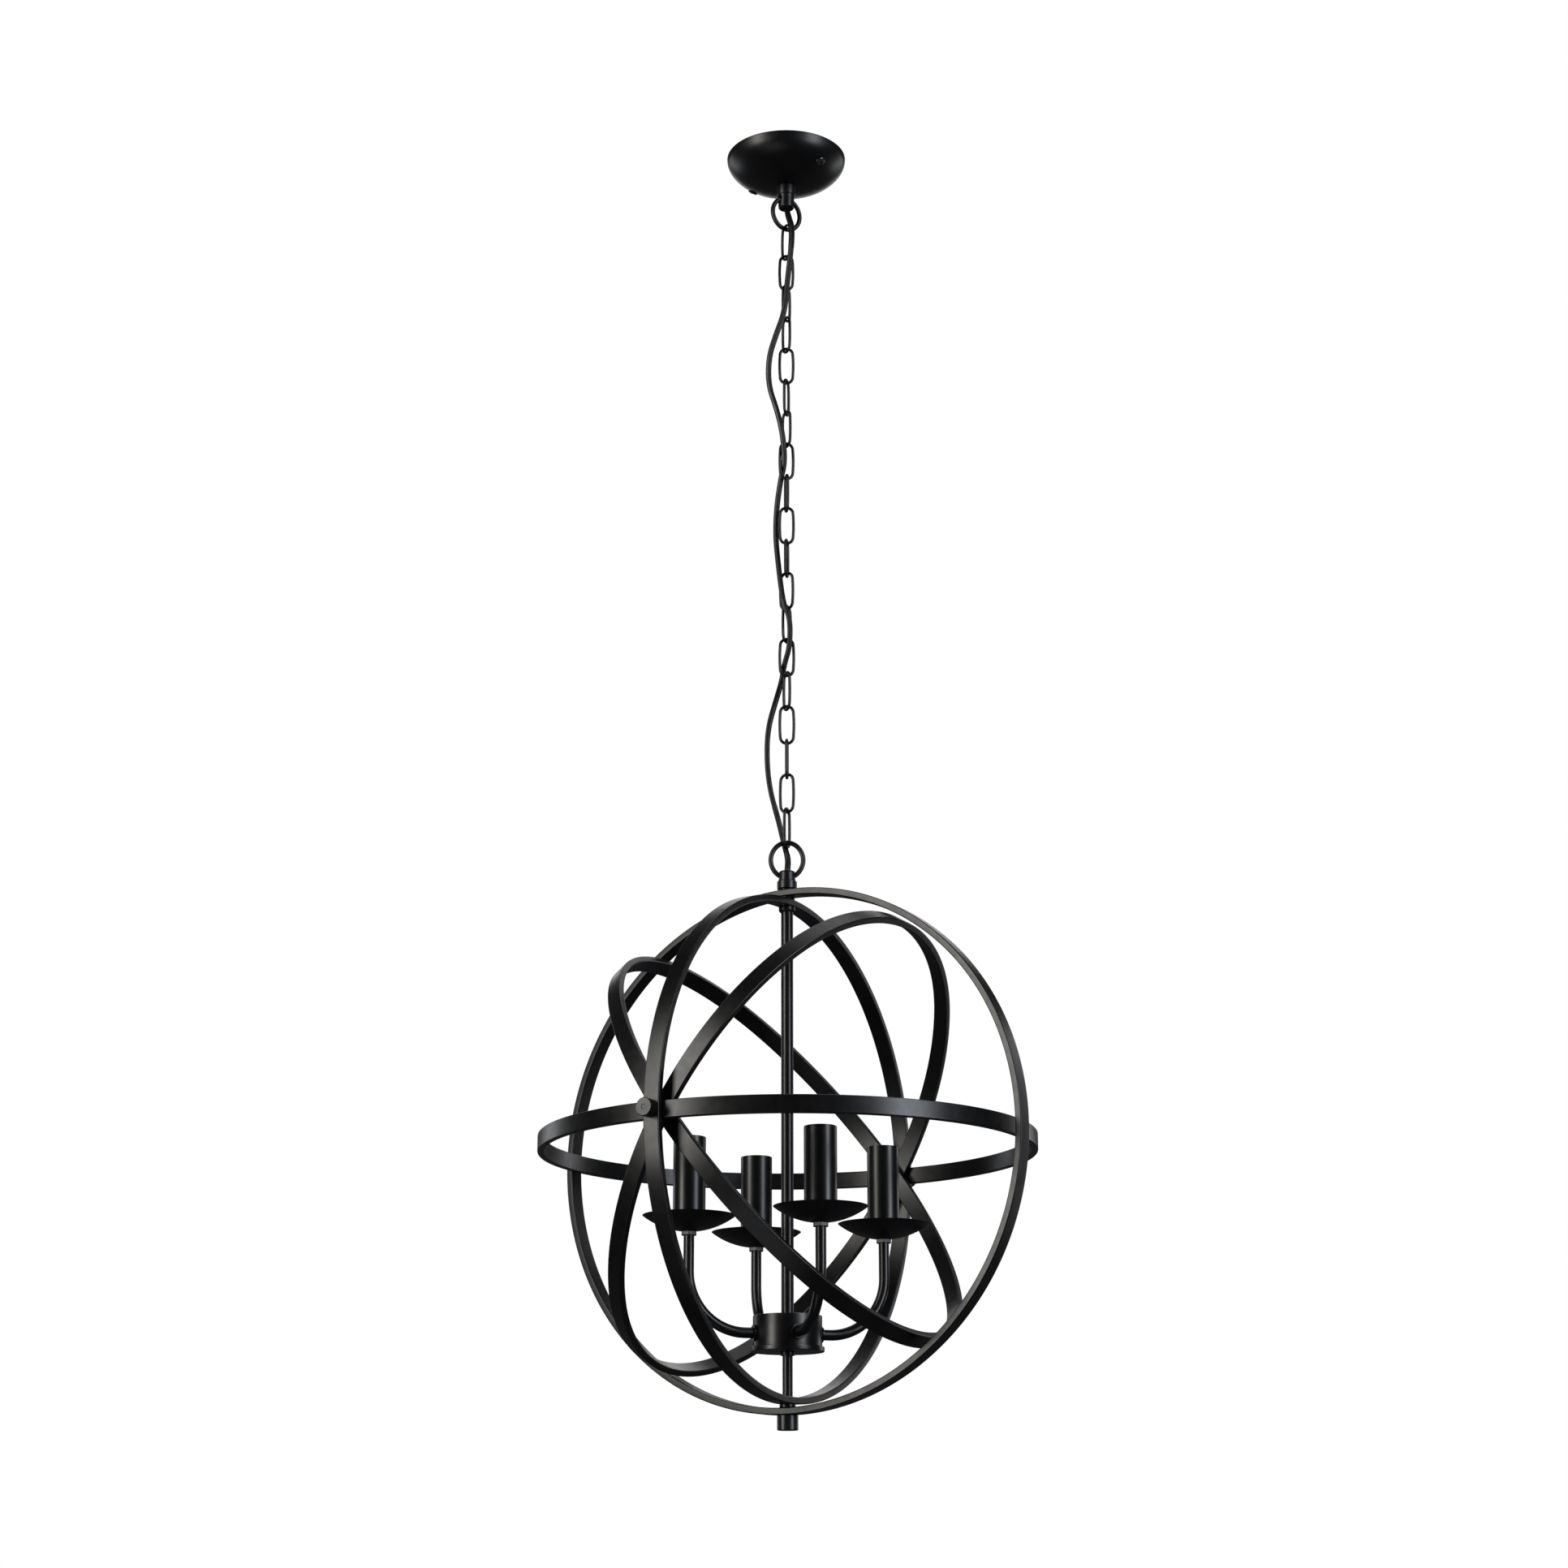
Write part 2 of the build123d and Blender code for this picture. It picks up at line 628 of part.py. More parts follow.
for index in range(arm_count):
    with BuildPart() as arm:
        with BuildLine(upright(arm_azimuth + index * 360 / arm_count, arm_z)) as path:
            run = Line((arm_inner_end_radius, 0), (arm_radius - arm_bend_radius, 0))
            bend = RadiusArc(run @ 1, (arm_radius, arm_bend_radius), -arm_bend_radius)
            Line(bend @ 1, (arm_radius, cup_z + arm_tip_above_cup - arm_z))
        with BuildSketch(Plane(origin=path.line @ 0, z_dir=path.line % 0)):
            Circle(arm_tube_diameter / 2)
            Circle(arm_tube_bore / 2, mode=Mode.SUBTRACT)
        sweep()
    save(arm, f"arm_{index + 1}")

with BuildPart() as arm_ferrules:
    for index in range(arm_count):
        azimuth = arm_azimuth + index * 360 / arm_count
        with BuildSketch(upright(azimuth + 90, arm_z).offset(hub_diameter / 2)):
            Circle(ferrule_diameter / 2)
            Circle(arm_tube_diameter / 2, mode=Mode.SUBTRACT)
        extrude(amount=ferrule_thickness)
save(arm_ferrules, "arm_ferrules")

with BuildPart() as cup_nuts:
    for index in range(arm_count):
        with BuildSketch(arm_plane(index, cup_z)):
            RegularPolygon(cup_nut_width / 2, 6, major_radius=False)
            Circle(arm_tube_diameter / 2, mode=Mode.SUBTRACT)
        extrude(amount=-cup_nut_height)
save(cup_nuts, "cup_nuts")

# ---- Drip cups, candle sleeves and lamp holders ----


def candle_profile(*points):
    """Closed half section in the plane of radius and height, ready to revolve on a candle's axis."""
    with BuildSketch(Plane.XZ) as profile:
        with BuildLine():
            Polyline(*points, close=True)
        make_face()
    return profile.sketch


cup_rim_z = cup_z + cup_depth
cup_hole = arm_tube_diameter / 2
cup_low = cup_sphere_z - sqrt(cup_sphere_radius**2 - cup_hole**2)
cup_floor = cup_sphere_z - sqrt(cup_inner_radius**2 - cup_hole**2)
cup_inner_rim = sqrt(cup_inner_radius**2 - (cup_sphere_z - cup_rim_z) ** 2)

with BuildSketch(Plane.XZ) as cup_section:
    with BuildLine():
        under = RadiusArc((cup_hole, cup_low), (cup_diameter / 2, cup_rim_z), -cup_sphere_radius)
        rim = Line(under @ 1, (cup_inner_rim, cup_rim_z))
        inside = RadiusArc(rim @ 1, (cup_hole, cup_floor), cup_inner_radius)
        Line(inside @ 1, under @ 0)
    make_face()

holder_waist_z = holder_z + holder_foot_height
holder_foot = holder_foot_diameter / 2
holder_socket_z = holder_top_z - socket_depth
holder_section = candle_profile(
    (0, holder_waist_z),
    (0, holder_socket_z),
    (socket_diameter / 2, holder_socket_z),
    (socket_diameter / 2, holder_top_z),
    (holder_diameter / 2, holder_top_z),
    (holder_diameter / 2, holder_waist_z - holder_collar_height),
    (holder_foot, holder_waist_z - holder_collar_height),
    (holder_foot, holder_z),
    (arm_tube_diameter / 2, holder_z),
    (arm_tube_diameter / 2, holder_waist_z),
)

for index in range(arm_count):
    spot = arm_plane(index, 0)
    candle_axis = Axis(spot.origin, spot.z_dir)
    with BuildPart() as drip_cup:
        revolve(cup_section.sketch.moved(Location(spot.origin)), axis=candle_axis)
    save(drip_cup, f"drip_cup_{index + 1}")

    with BuildPart() as candle_sleeve:
        with BuildSketch(arm_plane(index, sleeve_z)):
            Circle(sleeve_diameter / 2)
            Circle(sleeve_diameter / 2 - sleeve_wall, mode=Mode.SUBTRACT)
        extrude(amount=sleeve_length)
        fillet(candle_sleeve.edges().group_by(Axis.Z)[-1], radius=sleeve_edge)
    save(candle_sleeve, f"candle_sleeve_{index + 1}")

    with BuildPart() as lamp_holder:
        revolve(holder_section.moved(Location(spot.origin)), axis=candle_axis)
        with BuildSketch(arm_plane(index, holder_socket_z)):
            Circle(contact_well_diameter / 2)
        extrude(amount=-contact_well_depth, mode=Mode.SUBTRACT)
    save(lamp_holder, f"lamp_holder_{index + 1}")

# ---- Rings of the orb ----


def tilted(tilt):
    """Plane of a ring on the pivot bolts: X along the pivots, Y tilted up from level."""
    across = Vector(-pivot_direction.Y, pivot_direction.X, tan(radians(tilt)))
    return Plane(origin=orb_centre, x_dir=pivot_direction, z_dir=pivot_direction.cross(across))


def bar_ring(plane, reach_x, reach_y, holes):
    """Flat bar rolled to an oval, its long edges broken, drilled outwards from the middle."""
    with BuildPart() as ring:
        with BuildSketch(plane):
            with BuildLine():
                for start, middle, end in oval_arcs(reach_x, reach_y):
                    ThreePointArc(start, middle, end)
            make_face()
            with BuildLine():
                for start, middle, end in oval_arcs(reach_x - bar_thickness, reach_y - bar_thickness):
                    ThreePointArc(start, middle, end)
            make_face(mode=Mode.SUBTRACT)
        extrude(amount=bar_width / 2, both=True)
        chamfer(ring.edges().filter_by(GeomType.CIRCLE), length=bar_edge)
        for direction, radius in holes:
            with BuildSketch(Plane(origin=orb_centre, z_dir=direction)):
                Circle(radius)
            extrude(amount=reach_x + reach_y, mode=Mode.SUBTRACT)
    return ring


pivot_holes = [(pivot_direction, pivot_hole_radius), (-pivot_direction, pivot_hole_radius)]
stem_holes = [
    ((0, 0, 1), stem_diameter / 2 + running_clearance),
    ((0, 0, -1), lower_stem_diameter / 2 + running_clearance),
]

outer_plane = upright(outer_ring_azimuth, orb_z)
outer_ring = bar_ring(outer_plane, outer_ring_side_reach, outer_ring_pole_reach, stem_holes)
save(outer_ring, "outer_ring")

pivot_plane = upright(pivot_azimuth, orb_z)
pivot_ring = bar_ring(pivot_plane, pivot_ring_reach, pivot_ring_reach, stem_holes + pivot_holes)
save(pivot_ring, "pivot_ring")

equator_plane = tilted(equator_ring_tilt)
equator_ring = bar_ring(equator_plane, equator_pivot_reach, equator_ring_reach, pivot_holes)
save(equator_ring, "equator_ring")

middle_plane = tilted(middle_ring_tilt)
middle_ring = bar_ring(middle_plane, middle_pivot_reach, middle_ring_reach, pivot_holes)
save(middle_ring, "middle_ring")

inner_plane = tilted(inner_ring_tilt)
inner_ring = bar_ring(inner_plane, inner_pivot_reach, inner_ring_reach, pivot_holes)
save(inner_ring, "inner_ring")

# Bolts pass inwards through all four nested rings, to nuts inside the innermost.
bolt_tip_reach = pivot_nut_reach - pivot_nut_height - pivot_bolt_end


def on_pivot(side, reach):
    """Plane square to the pivot axis at a reach from the orb's centre, facing outwards."""
    outward = pivot_direction * side
    return Plane(origin=Vector(*orb_centre) + outward * reach, z_dir=outward)


with BuildPart() as pivot_bolts:
    for side in (-1, 1):
        with BuildSketch(on_pivot(side, pivot_ring_reach)):
            Circle(pivot_head_diameter / 2)
        extrude(amount=pivot_head_height)
    head_rims = pivot_bolts.edges().filter_by(GeomType.CIRCLE).sort_by_distance(orb_centre)[-2:]
    fillet(head_rims, radius=pivot_head_edge)
    for side in (-1, 1):
        with BuildSketch(on_pivot(side, bolt_tip_reach)):
            Circle(pivot_bolt_diameter / 2)
        extrude(amount=pivot_ring_reach - bolt_tip_reach)
save(pivot_bolts, "pivot_bolts")

with BuildPart() as pivot_nuts:
    for side in (-1, 1):
        with BuildSketch(on_pivot(side, pivot_nut_reach)):
            RegularPolygon(pivot_nut_width / 2, 6, major_radius=False)
            Circle(pivot_bolt_diameter / 2, mode=Mode.SUBTRACT)
        extrude(amount=-pivot_nut_height)
save(pivot_nuts, "pivot_nuts")
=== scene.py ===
from math import asin, atan2, cos, pi, radians, sin, sqrt

import bmesh
import bpy
from mathutils import Matrix, Vector


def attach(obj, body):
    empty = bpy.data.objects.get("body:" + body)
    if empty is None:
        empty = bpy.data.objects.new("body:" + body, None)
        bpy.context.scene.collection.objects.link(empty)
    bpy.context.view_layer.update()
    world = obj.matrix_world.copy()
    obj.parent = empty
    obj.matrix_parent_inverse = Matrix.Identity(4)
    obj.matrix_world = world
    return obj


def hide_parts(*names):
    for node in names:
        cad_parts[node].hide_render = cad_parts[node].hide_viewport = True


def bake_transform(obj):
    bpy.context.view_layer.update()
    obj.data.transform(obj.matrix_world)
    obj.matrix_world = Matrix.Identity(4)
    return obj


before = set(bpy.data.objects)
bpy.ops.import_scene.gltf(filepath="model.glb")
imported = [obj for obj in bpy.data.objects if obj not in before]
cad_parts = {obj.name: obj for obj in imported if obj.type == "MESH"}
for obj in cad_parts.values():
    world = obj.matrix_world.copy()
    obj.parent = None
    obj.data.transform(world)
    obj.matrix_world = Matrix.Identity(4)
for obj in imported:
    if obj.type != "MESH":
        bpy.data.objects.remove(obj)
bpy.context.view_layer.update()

# Orb chandelier: canopy, chain and cord, and five rings round four candle arms. Sizes of pieces
# are in millimetres and become metres when a piece is finished. The ceiling is at height zero.
MM = 0.001
UP = Vector((0, 0, 1))


def add_object(name, data):
    """New object in the scene, made of a mesh, a curve, a camera or a light."""
    thing = bpy.data.objects.new(name, data)
    bpy.context.collection.objects.link(thing)
    return thing


# ---- Camera, at the photograph's angle ----

CAMERA_PLACE = (-0.47, -2083.5, -1172.1)
CAMERA_PITCH = radians(16.58)
CAMERA_YAW = radians(-0.05)
CAMERA_ROLL = radians(-0.05)
CAMERA_LENS = 63.14
CAMERA_SENSOR = 36
CAMERA_SIGHT = 50


def add_camera():
    """Camera a little below the orb, looking slightly up at the whole chandelier."""
    ahead = Vector(
        (
            sin(CAMERA_YAW) * cos(CAMERA_PITCH),
            cos(CAMERA_YAW) * cos(CAMERA_PITCH),
            sin(CAMERA_PITCH),
        )
    )
    level = Vector((cos(CAMERA_YAW), -sin(CAMERA_YAW), 0))
    upward = level.cross(ahead)
    across = cos(CAMERA_ROLL) * level + sin(CAMERA_ROLL) * upward
    top = -sin(CAMERA_ROLL) * level + cos(CAMERA_ROLL) * upward
    data = bpy.data.cameras.new("studio_camera")
    data.lens = CAMERA_LENS
    data.sensor_width = CAMERA_SENSOR
    data.clip_end = CAMERA_SIGHT
    camera = add_object("studio_camera", data)
    turn = Matrix((across, top, -ahead)).transposed().to_4x4()
    camera.matrix_world = Matrix.Translation(Vector(CAMERA_PLACE) * MM) @ turn
    bpy.context.scene.camera = camera


add_camera()

# ---- Finishes ----

# Noise patterns as scale and detail, and relief as strength and depth in metres
COAT_CLOUD = (38.0, 4.0)
COAT_PATCHES = (160.0, 3.0)
COAT_RELIEF = (0.05, 0.00006)
COAT_GRAIN = 1500.0
SMALL_PART_GRAIN = 2000.0
WIRE_GRAIN = 2400.0
COAT_SPECULAR = 0.5
METAL_LINES = (220.0, 5.0)
METAL_PATCHES = (60.0, 3.0)
METAL_RELIEF = (0.1, 0.00005)
MOULD_CLOUD = (50.0, 2.0)
MOULD_PATCHES = (200.0, 2.0)
MOULD_RELIEF = (0.12, 0.00008)
MOULD_GRAIN = 900.0
JACKET_GRAIN = 1800.0
MOULD_SPECULAR = 0.4
GRAIN_DETAIL = 2.0
RAMP_START = 0.35
RAMP_END = 0.65


def start_finish(name):
    """Material with its shader, and the object's own coordinates for its patterns."""
    finish = bpy.data.materials.new(name)
    finish.use_nodes = True
    nodes = finish.node_tree.nodes
    shader = nodes["Principled BSDF"]
    places = nodes.new("ShaderNodeTexCoord")
    return finish, nodes, finish.node_tree.links, shader, places.outputs["Object"]


def mottle(nodes, links, coordinates, scale, detail=GRAIN_DETAIL, stretch=None):
    """Noise pattern on the object's coordinates, drawn out along an axis if asked."""
    noise = nodes.new("ShaderNodeTexNoise")
    noise.inputs["Scale"].default_value = scale
    noise.inputs["Detail"].default_value = detail
    if stretch:
        mapping = nodes.new("ShaderNodeMapping")
        mapping.inputs["Scale"].default_value = stretch
        links.new(coordinates, mapping.inputs["Vector"])
        coordinates = mapping.outputs["Vector"]
    links.new(coordinates, noise.inputs["Vector"])
    return noise.outputs["Fac"]


def between(nodes, links, factor, low, high):
    """Ramp from one colour or grey to another as a pattern rises."""
    ramp = nodes.new("ShaderNodeValToRGB")
    ramp.color_ramp.elements[0].position = RAMP_START
    ramp.color_ramp.elements[1].position = RAMP_END
    ramp.color_ramp.elements[0].color = (*low, 1)
    ramp.color_ramp.elements[1].color = (*high, 1)
    links.new(factor, ramp.inputs["Fac"])
    return ramp.outputs["Color"]


def grey(value):
    return (value, value, value)


def roughen(nodes, links, shader, height, strength, depth):
    """Fine relief on the surface."""
    bump = nodes.new("ShaderNodeBump")
    bump.inputs["Strength"].default_value = strength
    bump.inputs["Distance"].default_value = depth
    links.new(height, bump.inputs["Height"])
    links.new(bump.outputs["Normal"], shader.inputs["Normal"])


def dull_in_patches(nodes, links, shader, places, noise, smooth, coarse):
    """Roughness that drifts between two values."""
    patches = mottle(nodes, links, places, *noise)
    links.new(
        between(nodes, links, patches, grey(smooth), grey(coarse)), shader.inputs["Roughness"]
    )


def powder_coat(name, dark, light, smooth, coarse, grain=COAT_GRAIN):
    """Satin black powder coat: faint orange peel, and patches that are a little duller."""
    finish, nodes, links, shader, places = start_finish(name)
    cloud = mottle(nodes, links, places, *COAT_CLOUD)
    links.new(between(nodes, links, cloud, dark, light), shader.inputs["Base Color"])
    dull_in_patches(nodes, links, shader, places, COAT_PATCHES, smooth, coarse)
    shader.inputs["Specular IOR Level"].default_value = COAT_SPECULAR
    roughen(nodes, links, shader, mottle(nodes, links, places, grain), *COAT_RELIEF)
    return finish


def bare_metal(name, dark, light, smooth, coarse, stretch):
    """Plated or bare metal with fine drawn lines."""
    finish, nodes, links, shader, places = start_finish(name)
    lines = mottle(nodes, links, places, *METAL_LINES, stretch)
    links.new(between(nodes, links, lines, dark, light), shader.inputs["Base Color"])
    dull_in_patches(nodes, links, shader, places, METAL_PATCHES, smooth, coarse)
    shader.inputs["Metallic"].default_value = 1.0
    roughen(nodes, links, shader, lines, *METAL_RELIEF)
    return finish


def moulded(name, dark, light, smooth, coarse, grain=MOULD_GRAIN):
    """Moulded plastic with a fine matte grain."""
    finish, nodes, links, shader, places = start_finish(name)
    cloud = mottle(nodes, links, places, *MOULD_CLOUD)
    links.new(between(nodes, links, cloud, dark, light), shader.inputs["Base Color"])
    dull_in_patches(nodes, links, shader, places, MOULD_PATCHES, smooth, coarse)
    shader.inputs["Specular IOR Level"].default_value = MOULD_SPECULAR
    roughen(nodes, links, shader, mottle(nodes, links, places, grain), *MOULD_RELIEF)
    return finish


# Each finish: darkest and lightest colour, least and greatest roughness, grain or drawn lines
DEEP_BLACK = (0.0006, 0.0006, 0.0007)
BAR_BLACK = (0.0017, 0.0017, 0.0019)
DOME_BLACK = (0.0014, 0.0014, 0.0016)
COLLAR_BLACK = (0.0014, 0.0014, 0.0015)

RING_COAT = powder_coat("ring_coat", DEEP_BLACK, BAR_BLACK, 0.29, 0.34)
CANOPY_COAT = powder_coat("canopy_coat", DEEP_BLACK, DOME_BLACK, 0.33, 0.36)
SLEEVE_COAT = powder_coat("sleeve_coat", DEEP_BLACK, DOME_BLACK, 0.29, 0.32)
TUBE_COAT = powder_coat("tube_coat", DEEP_BLACK, BAR_BLACK, 0.29, 0.33)
CHAIN_COAT = powder_coat(
    "chain_coat", (0.0012, 0.0012, 0.0011), (0.0032, 0.0032, 0.0029), 0.31, 0.38, WIRE_GRAIN
)
BOLT_COAT = powder_coat("bolt_coat", grey(0.0011), grey(0.0028), 0.29, 0.35, SMALL_PART_GRAIN)
COLLAR_COAT = powder_coat(
    "collar_coat", DEEP_BLACK, COLLAR_BLACK, 0.34, 0.38, SMALL_PART_GRAIN
)
BLACK_ZINC = bare_metal(
    "black_zinc", (0.09, 0.09, 0.095), (0.15, 0.15, 0.155), 0.3, 0.4, (1, 1, 3)
)
CORD_JACKET = moulded(
    "cord_jacket", (0.002, 0.002, 0.0024), (0.005, 0.005, 0.0056), 0.34, 0.44, JACKET_GRAIN
)
HOLDER_PLASTIC = moulded("holder_plastic", grey(0.01), grey(0.02), 0.45, 0.6)
TERMINAL_PLASTIC = moulded("terminal_plastic", (0.7, 0.68, 0.6), (0.8, 0.78, 0.71), 0.4, 0.5)
ZINC = bare_metal("zinc_plate", (0.42, 0.42, 0.43), grey(0.6), 0.28, 0.42, (1, 8, 1))
BRASS = bare_metal("brass", (0.55, 0.38, 0.15), (0.72, 0.52, 0.24), 0.22, 0.36, (1, 1, 10))

# ---- Ways of making a piece ----

# How close two points are joined: as a rule, and where a ring closes on itself
JOIN = 0.0005
RING_JOIN = 0.01
TURN_STEPS = 96
SMALL_TURN_STEPS = 48
EDGE_ANGLE = 30
PRESSED_EDGE_ANGLE = 50
SHARP_ANGLE = 40
SMOOTHING_WEIGHT = 80


def edges_of(items):
    return [item for item in items if isinstance(item, bmesh.types.BMEdge)]


def section_place(radius):
    """Place of a section on the X axis, square to a run about Z."""
    return Matrix.Translation((radius, 0, 0)) @ Matrix.Rotation(pi / 2, 4, "X")


def round_section(shape, radius, sides, place):
    """Loop of edges for a round wire or tube, ready to be bent along its run."""
    made = bmesh.ops.create_circle(shape, segments=sides, radius=radius, matrix=place)
    return list({edge for vert in made["verts"] for edge in vert.link_edges})


def flat_section(shape, width, height, place):
    """Rectangular loop of edges for a flat bar."""
    made = bmesh.ops.create_grid(shape, x_segments=1, y_segments=1, size=0.5)
    bmesh.ops.scale(shape, verts=made["verts"], vec=(width, height, 1))
    bmesh.ops.transform(shape, verts=made["verts"], matrix=place)
    face = made["verts"][0].link_faces[0]
    edges = list(face.edges)
    bmesh.ops.delete(shape, geom=[face], context="FACES_ONLY")
    return edges


def bend(shape, edges, centre, angle, steps):
    """Carry a section round an arc about Z and return its far end."""
    made = bmesh.ops.spin(
        shape, geom=edges, cent=centre, axis=(0, 0, 1), dvec=(0, 0, 0), angle=angle, steps=steps
    )
    return edges_of(made["geom_last"])


def oval_shift(reach_x, reach_y):
    """How far the centres of an oval's four tangent arcs lie from its middle."""
    return (reach_x - reach_y) / (2 - sqrt(2))


def bend_oval(shape, edges, shift, steps):
    """Carry a section, which stands on the X axis, round a whole oval of four arcs."""
    begin = Matrix.Translation((shift, 0, 0)) @ Matrix.Rotation(-pi / 4, 4, "Z")
    bmesh.ops.transform(
        shape, verts=shape.verts, matrix=begin @ Matrix.Translation((-shift, 0, 0))
    )
    for centre in ((shift, 0, 0), (0, -shift, 0), (-shift, 0, 0), (0, shift, 0)):
        edges = bend(shape, edges, centre, pi / 2, steps)


def run(shape, edges, along):
    """Carry a section straight on and return its far end."""
    made = bmesh.ops.extrude_edge_only(shape, edges=edges)["geom"]
    ends = {item for item in made if isinstance(item, bmesh.types.BMVert)}
    bmesh.ops.translate(shape, verts=list(ends), vec=along)
    return [edge for edge in edges_of(made) if set(edge.verts) <= ends]


def close_end(shape, edges):
    bmesh.ops.contextual_create(shape, geom=edges)


def soften(shape, width, segments=2, limit=EDGE_ANGLE):
    """Round every edge that is sharper than a limit in degrees."""
    sharp = [
        edge
        for edge in shape.edges
        if len(edge.link_faces) == 2 and edge.calc_face_angle(0) > radians(limit)
    ]
    bmesh.ops.bevel(
        shape,
        geom=sharp,
        offset=width,
        offset_type="OFFSET",
        segments=segments,
        profile=0.5,
        affect="EDGES",
        clamp_overlap=True,
        material=-1,
    )


def full_turn(shape, outline, steps):
    """Turn points and edges once about Z."""
    bmesh.ops.spin(
        shape,
        geom=outline,
        cent=(0, 0, 0),
        axis=(0, 0, 1),
        dvec=(0, 0, 0),
        angle=2 * pi,
        steps=steps,
        use_merge=True,
    )


def lathe(shape, outline, closed=True, steps=TURN_STEPS, place=None):
    """Turn an outline of radius and height about Z, beside what the shape already holds."""
    verts = [shape.verts.new((radius, 0, height)) for radius, height in outline]
    pairs = list(zip(verts, verts[1:]))
    if closed:
        pairs.append((verts[-1], verts[0]))
    edges = [shape.edges.new(pair) for pair in pairs]
    full_turn(shape, verts + edges, steps)
    bmesh.ops.remove_doubles(shape, verts=shape.verts, dist=JOIN)
    if place is not None:
        # Points of earlier turns are tagged and stay where they are
        turned = {vert for vert in shape.verts if not vert.tag}
        bmesh.ops.transform(shape, verts=list(turned), matrix=place)
    for vert in shape.verts:
        vert.tag = True


def arc(shape, start, centre, angle, steps):
    """Carry a point round an arc in the plane of X and Z and return its far end."""
    made = bmesh.ops.spin(
        shape, geom=[start], cent=centre, axis=(0, -1, 0), dvec=(0, 0, 0), angle=angle, steps=steps
    )
    return next(item for item in made["geom_last"] if isinstance(item, bmesh.types.BMVert))


def turn_round(shape, steps):
    """Turn the whole outline about Z."""
    full_turn(shape, shape.verts[:] + shape.edges[:], steps)
    tidy(shape)


def tidy(shape, join=JOIN):
    """Join points that coincide and turn the faces outwards."""
    bmesh.ops.remove_doubles(shape, verts=shape.verts, dist=join)
    bmesh.ops.recalc_face_normals(shape, faces=shape.faces)


def move(shape, place):
    bmesh.ops.transform(shape, verts=shape.verts, matrix=place)


def shade(mesh, sharp):
    """Smooth shading, broken at edges sharper than an angle in degrees."""
    for face in mesh.polygons:
        face.use_smooth = True
    mesh.set_sharp_from_angle(angle=radians(sharp))


def finish_piece(
    shape, name, finish, body, nodes, sharp=SHARP_ANGLE, weighted=True
):
    """Write the shape as an object in metres, smooth between its real edges, on its body."""
    tidy(shape)
    bmesh.ops.scale(shape, verts=shape.verts, vec=(MM, MM, MM))
    mesh = bpy.data.meshes.new(name)
    shape.to_mesh(mesh)
    shape.free()
    mesh.materials.append(finish)
    shade(mesh, sharp)
    piece = add_object(name, mesh)
    if weighted:
        level = piece.modifiers.new("even_faces", "WEIGHTED_NORMAL")
        level.keep_sharp = True
        level.weight = SMOOTHING_WEIGHT
    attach(piece, body)
    if nodes:
        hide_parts(*nodes)


def axes(origin, across, up):
    """Matrix whose X and Y run along two directions from an origin."""
    x = Vector(across).normalized()
    y = Vector(up).normalized()
    turn = Matrix((x, y, x.cross(y))).transposed().to_4x4()
    return Matrix.Translation(origin) @ turn


def heading(azimuth):
    return Vector((cos(radians(azimuth)), sin(radians(azimuth)), 0))


CEILING = "ceiling_mount"
CHAIN = "chain"
FRAME = "pivot_frame"
CLUSTER = "candle_cluster"

# ---- Supply cord ----
# The cord is made in five lengths that meet on its straight stretches: in the canopy's collar,
# at the top loop, down the chain, at the bottom loop, and in the collar on the orb. Each has its
# name, its corners, the body that it hangs from, the body that it bends to, if any, and the places
# between which it bends. Only a length with no second body is attached to its body; the others
# are left where they are drawn.

CORD_WIDTH = 4.4
CORD_SHARP_ANGLE = 50
CORD_LINE_STEPS = 12
CORD_SECTION_STEPS = 3
CORD_LENGTHS = [
    (
        "cord_in_canopy",
        [(0, 0, -22), (0, 0, -36), (0.4, 0.2, -46.5), (1.4, -3.5, -53.0)],
        (CEILING, "top_loop", (0, 0, -45), (0.9, -2, -52.5)),
    ),
    (
        "cord_at_top_loop",
        [(1.4, -3.5, -53.0), (2.1, -5.9, -57.2), (5.3, -8.8, -69.6), (4.0, -8.2, -86.3)],
        ("top_loop", CHAIN, (2, -5, -58), (5, -8, -73)),
    ),
    (
        "cord_down_chain",
        [
            (4.0, -8.2, -86.3),
            (3.6, -8.0, -91.7),
            (0.6, -7.6, -120.4),
            (-1.6, -8.4, -146.5),
            (-8.6, -7.0, -165.7),
            (-14.7, -5.3, -185.9),
            (-14.8, -3.6, -210.1),
            (-8.3, -5.4, -231.1),
            (-3.3, -7.5, -253.2),
            (-1.2, -0.7, -276.1),
            (-4.6, 5.0, -289.0),
            (-8.1, 6.1, -313.6),
            (-9.0, 4.1, -340.4),
            (-6.8, 0.1, -365.9),
            (-4.5, -4.3, -388.1),
            (-2.3, -8.0, -403.7),
            (2.8, -7.6, -415.8),
            (2.5, -2.8, -437.7),
            (-2.1, 2.7, -451.2),
            (-4.0, 9.3, -463.0),
            (-8.1, 3.9, -479.2),
            (-15.3, 1.3, -505.6),
            (-15.9, 1.6, -534.3),
            (-13.1, 2.1, -558.0),
            (-9.9, 3.1, -569.0),
        ],
        (CHAIN, None, None, None),
    ),
    (
        "cord_at_bottom_loop",
        [(-9.9, 3.1, -569.0), (-6.7, 4.0, -580.2), (-2.2, 6.5, -599.7), (-0.2, 5.4, -607.6)],
        (CHAIN, "bottom_loop", (-4, 5, -592), (-1, 5, -606)),
    ),
    (
        "cord_in_stem",
        [(-0.2, 5.4, -607.6), (1.0, 4.7, -612.1), (0.3, 0.3, -623.0), (0, 0, -632), (0, 0, -646)],
        ("bottom_loop", CLUSTER, (0.6, 2, -615), (0.1, 0.1, -624)),
    ),
]

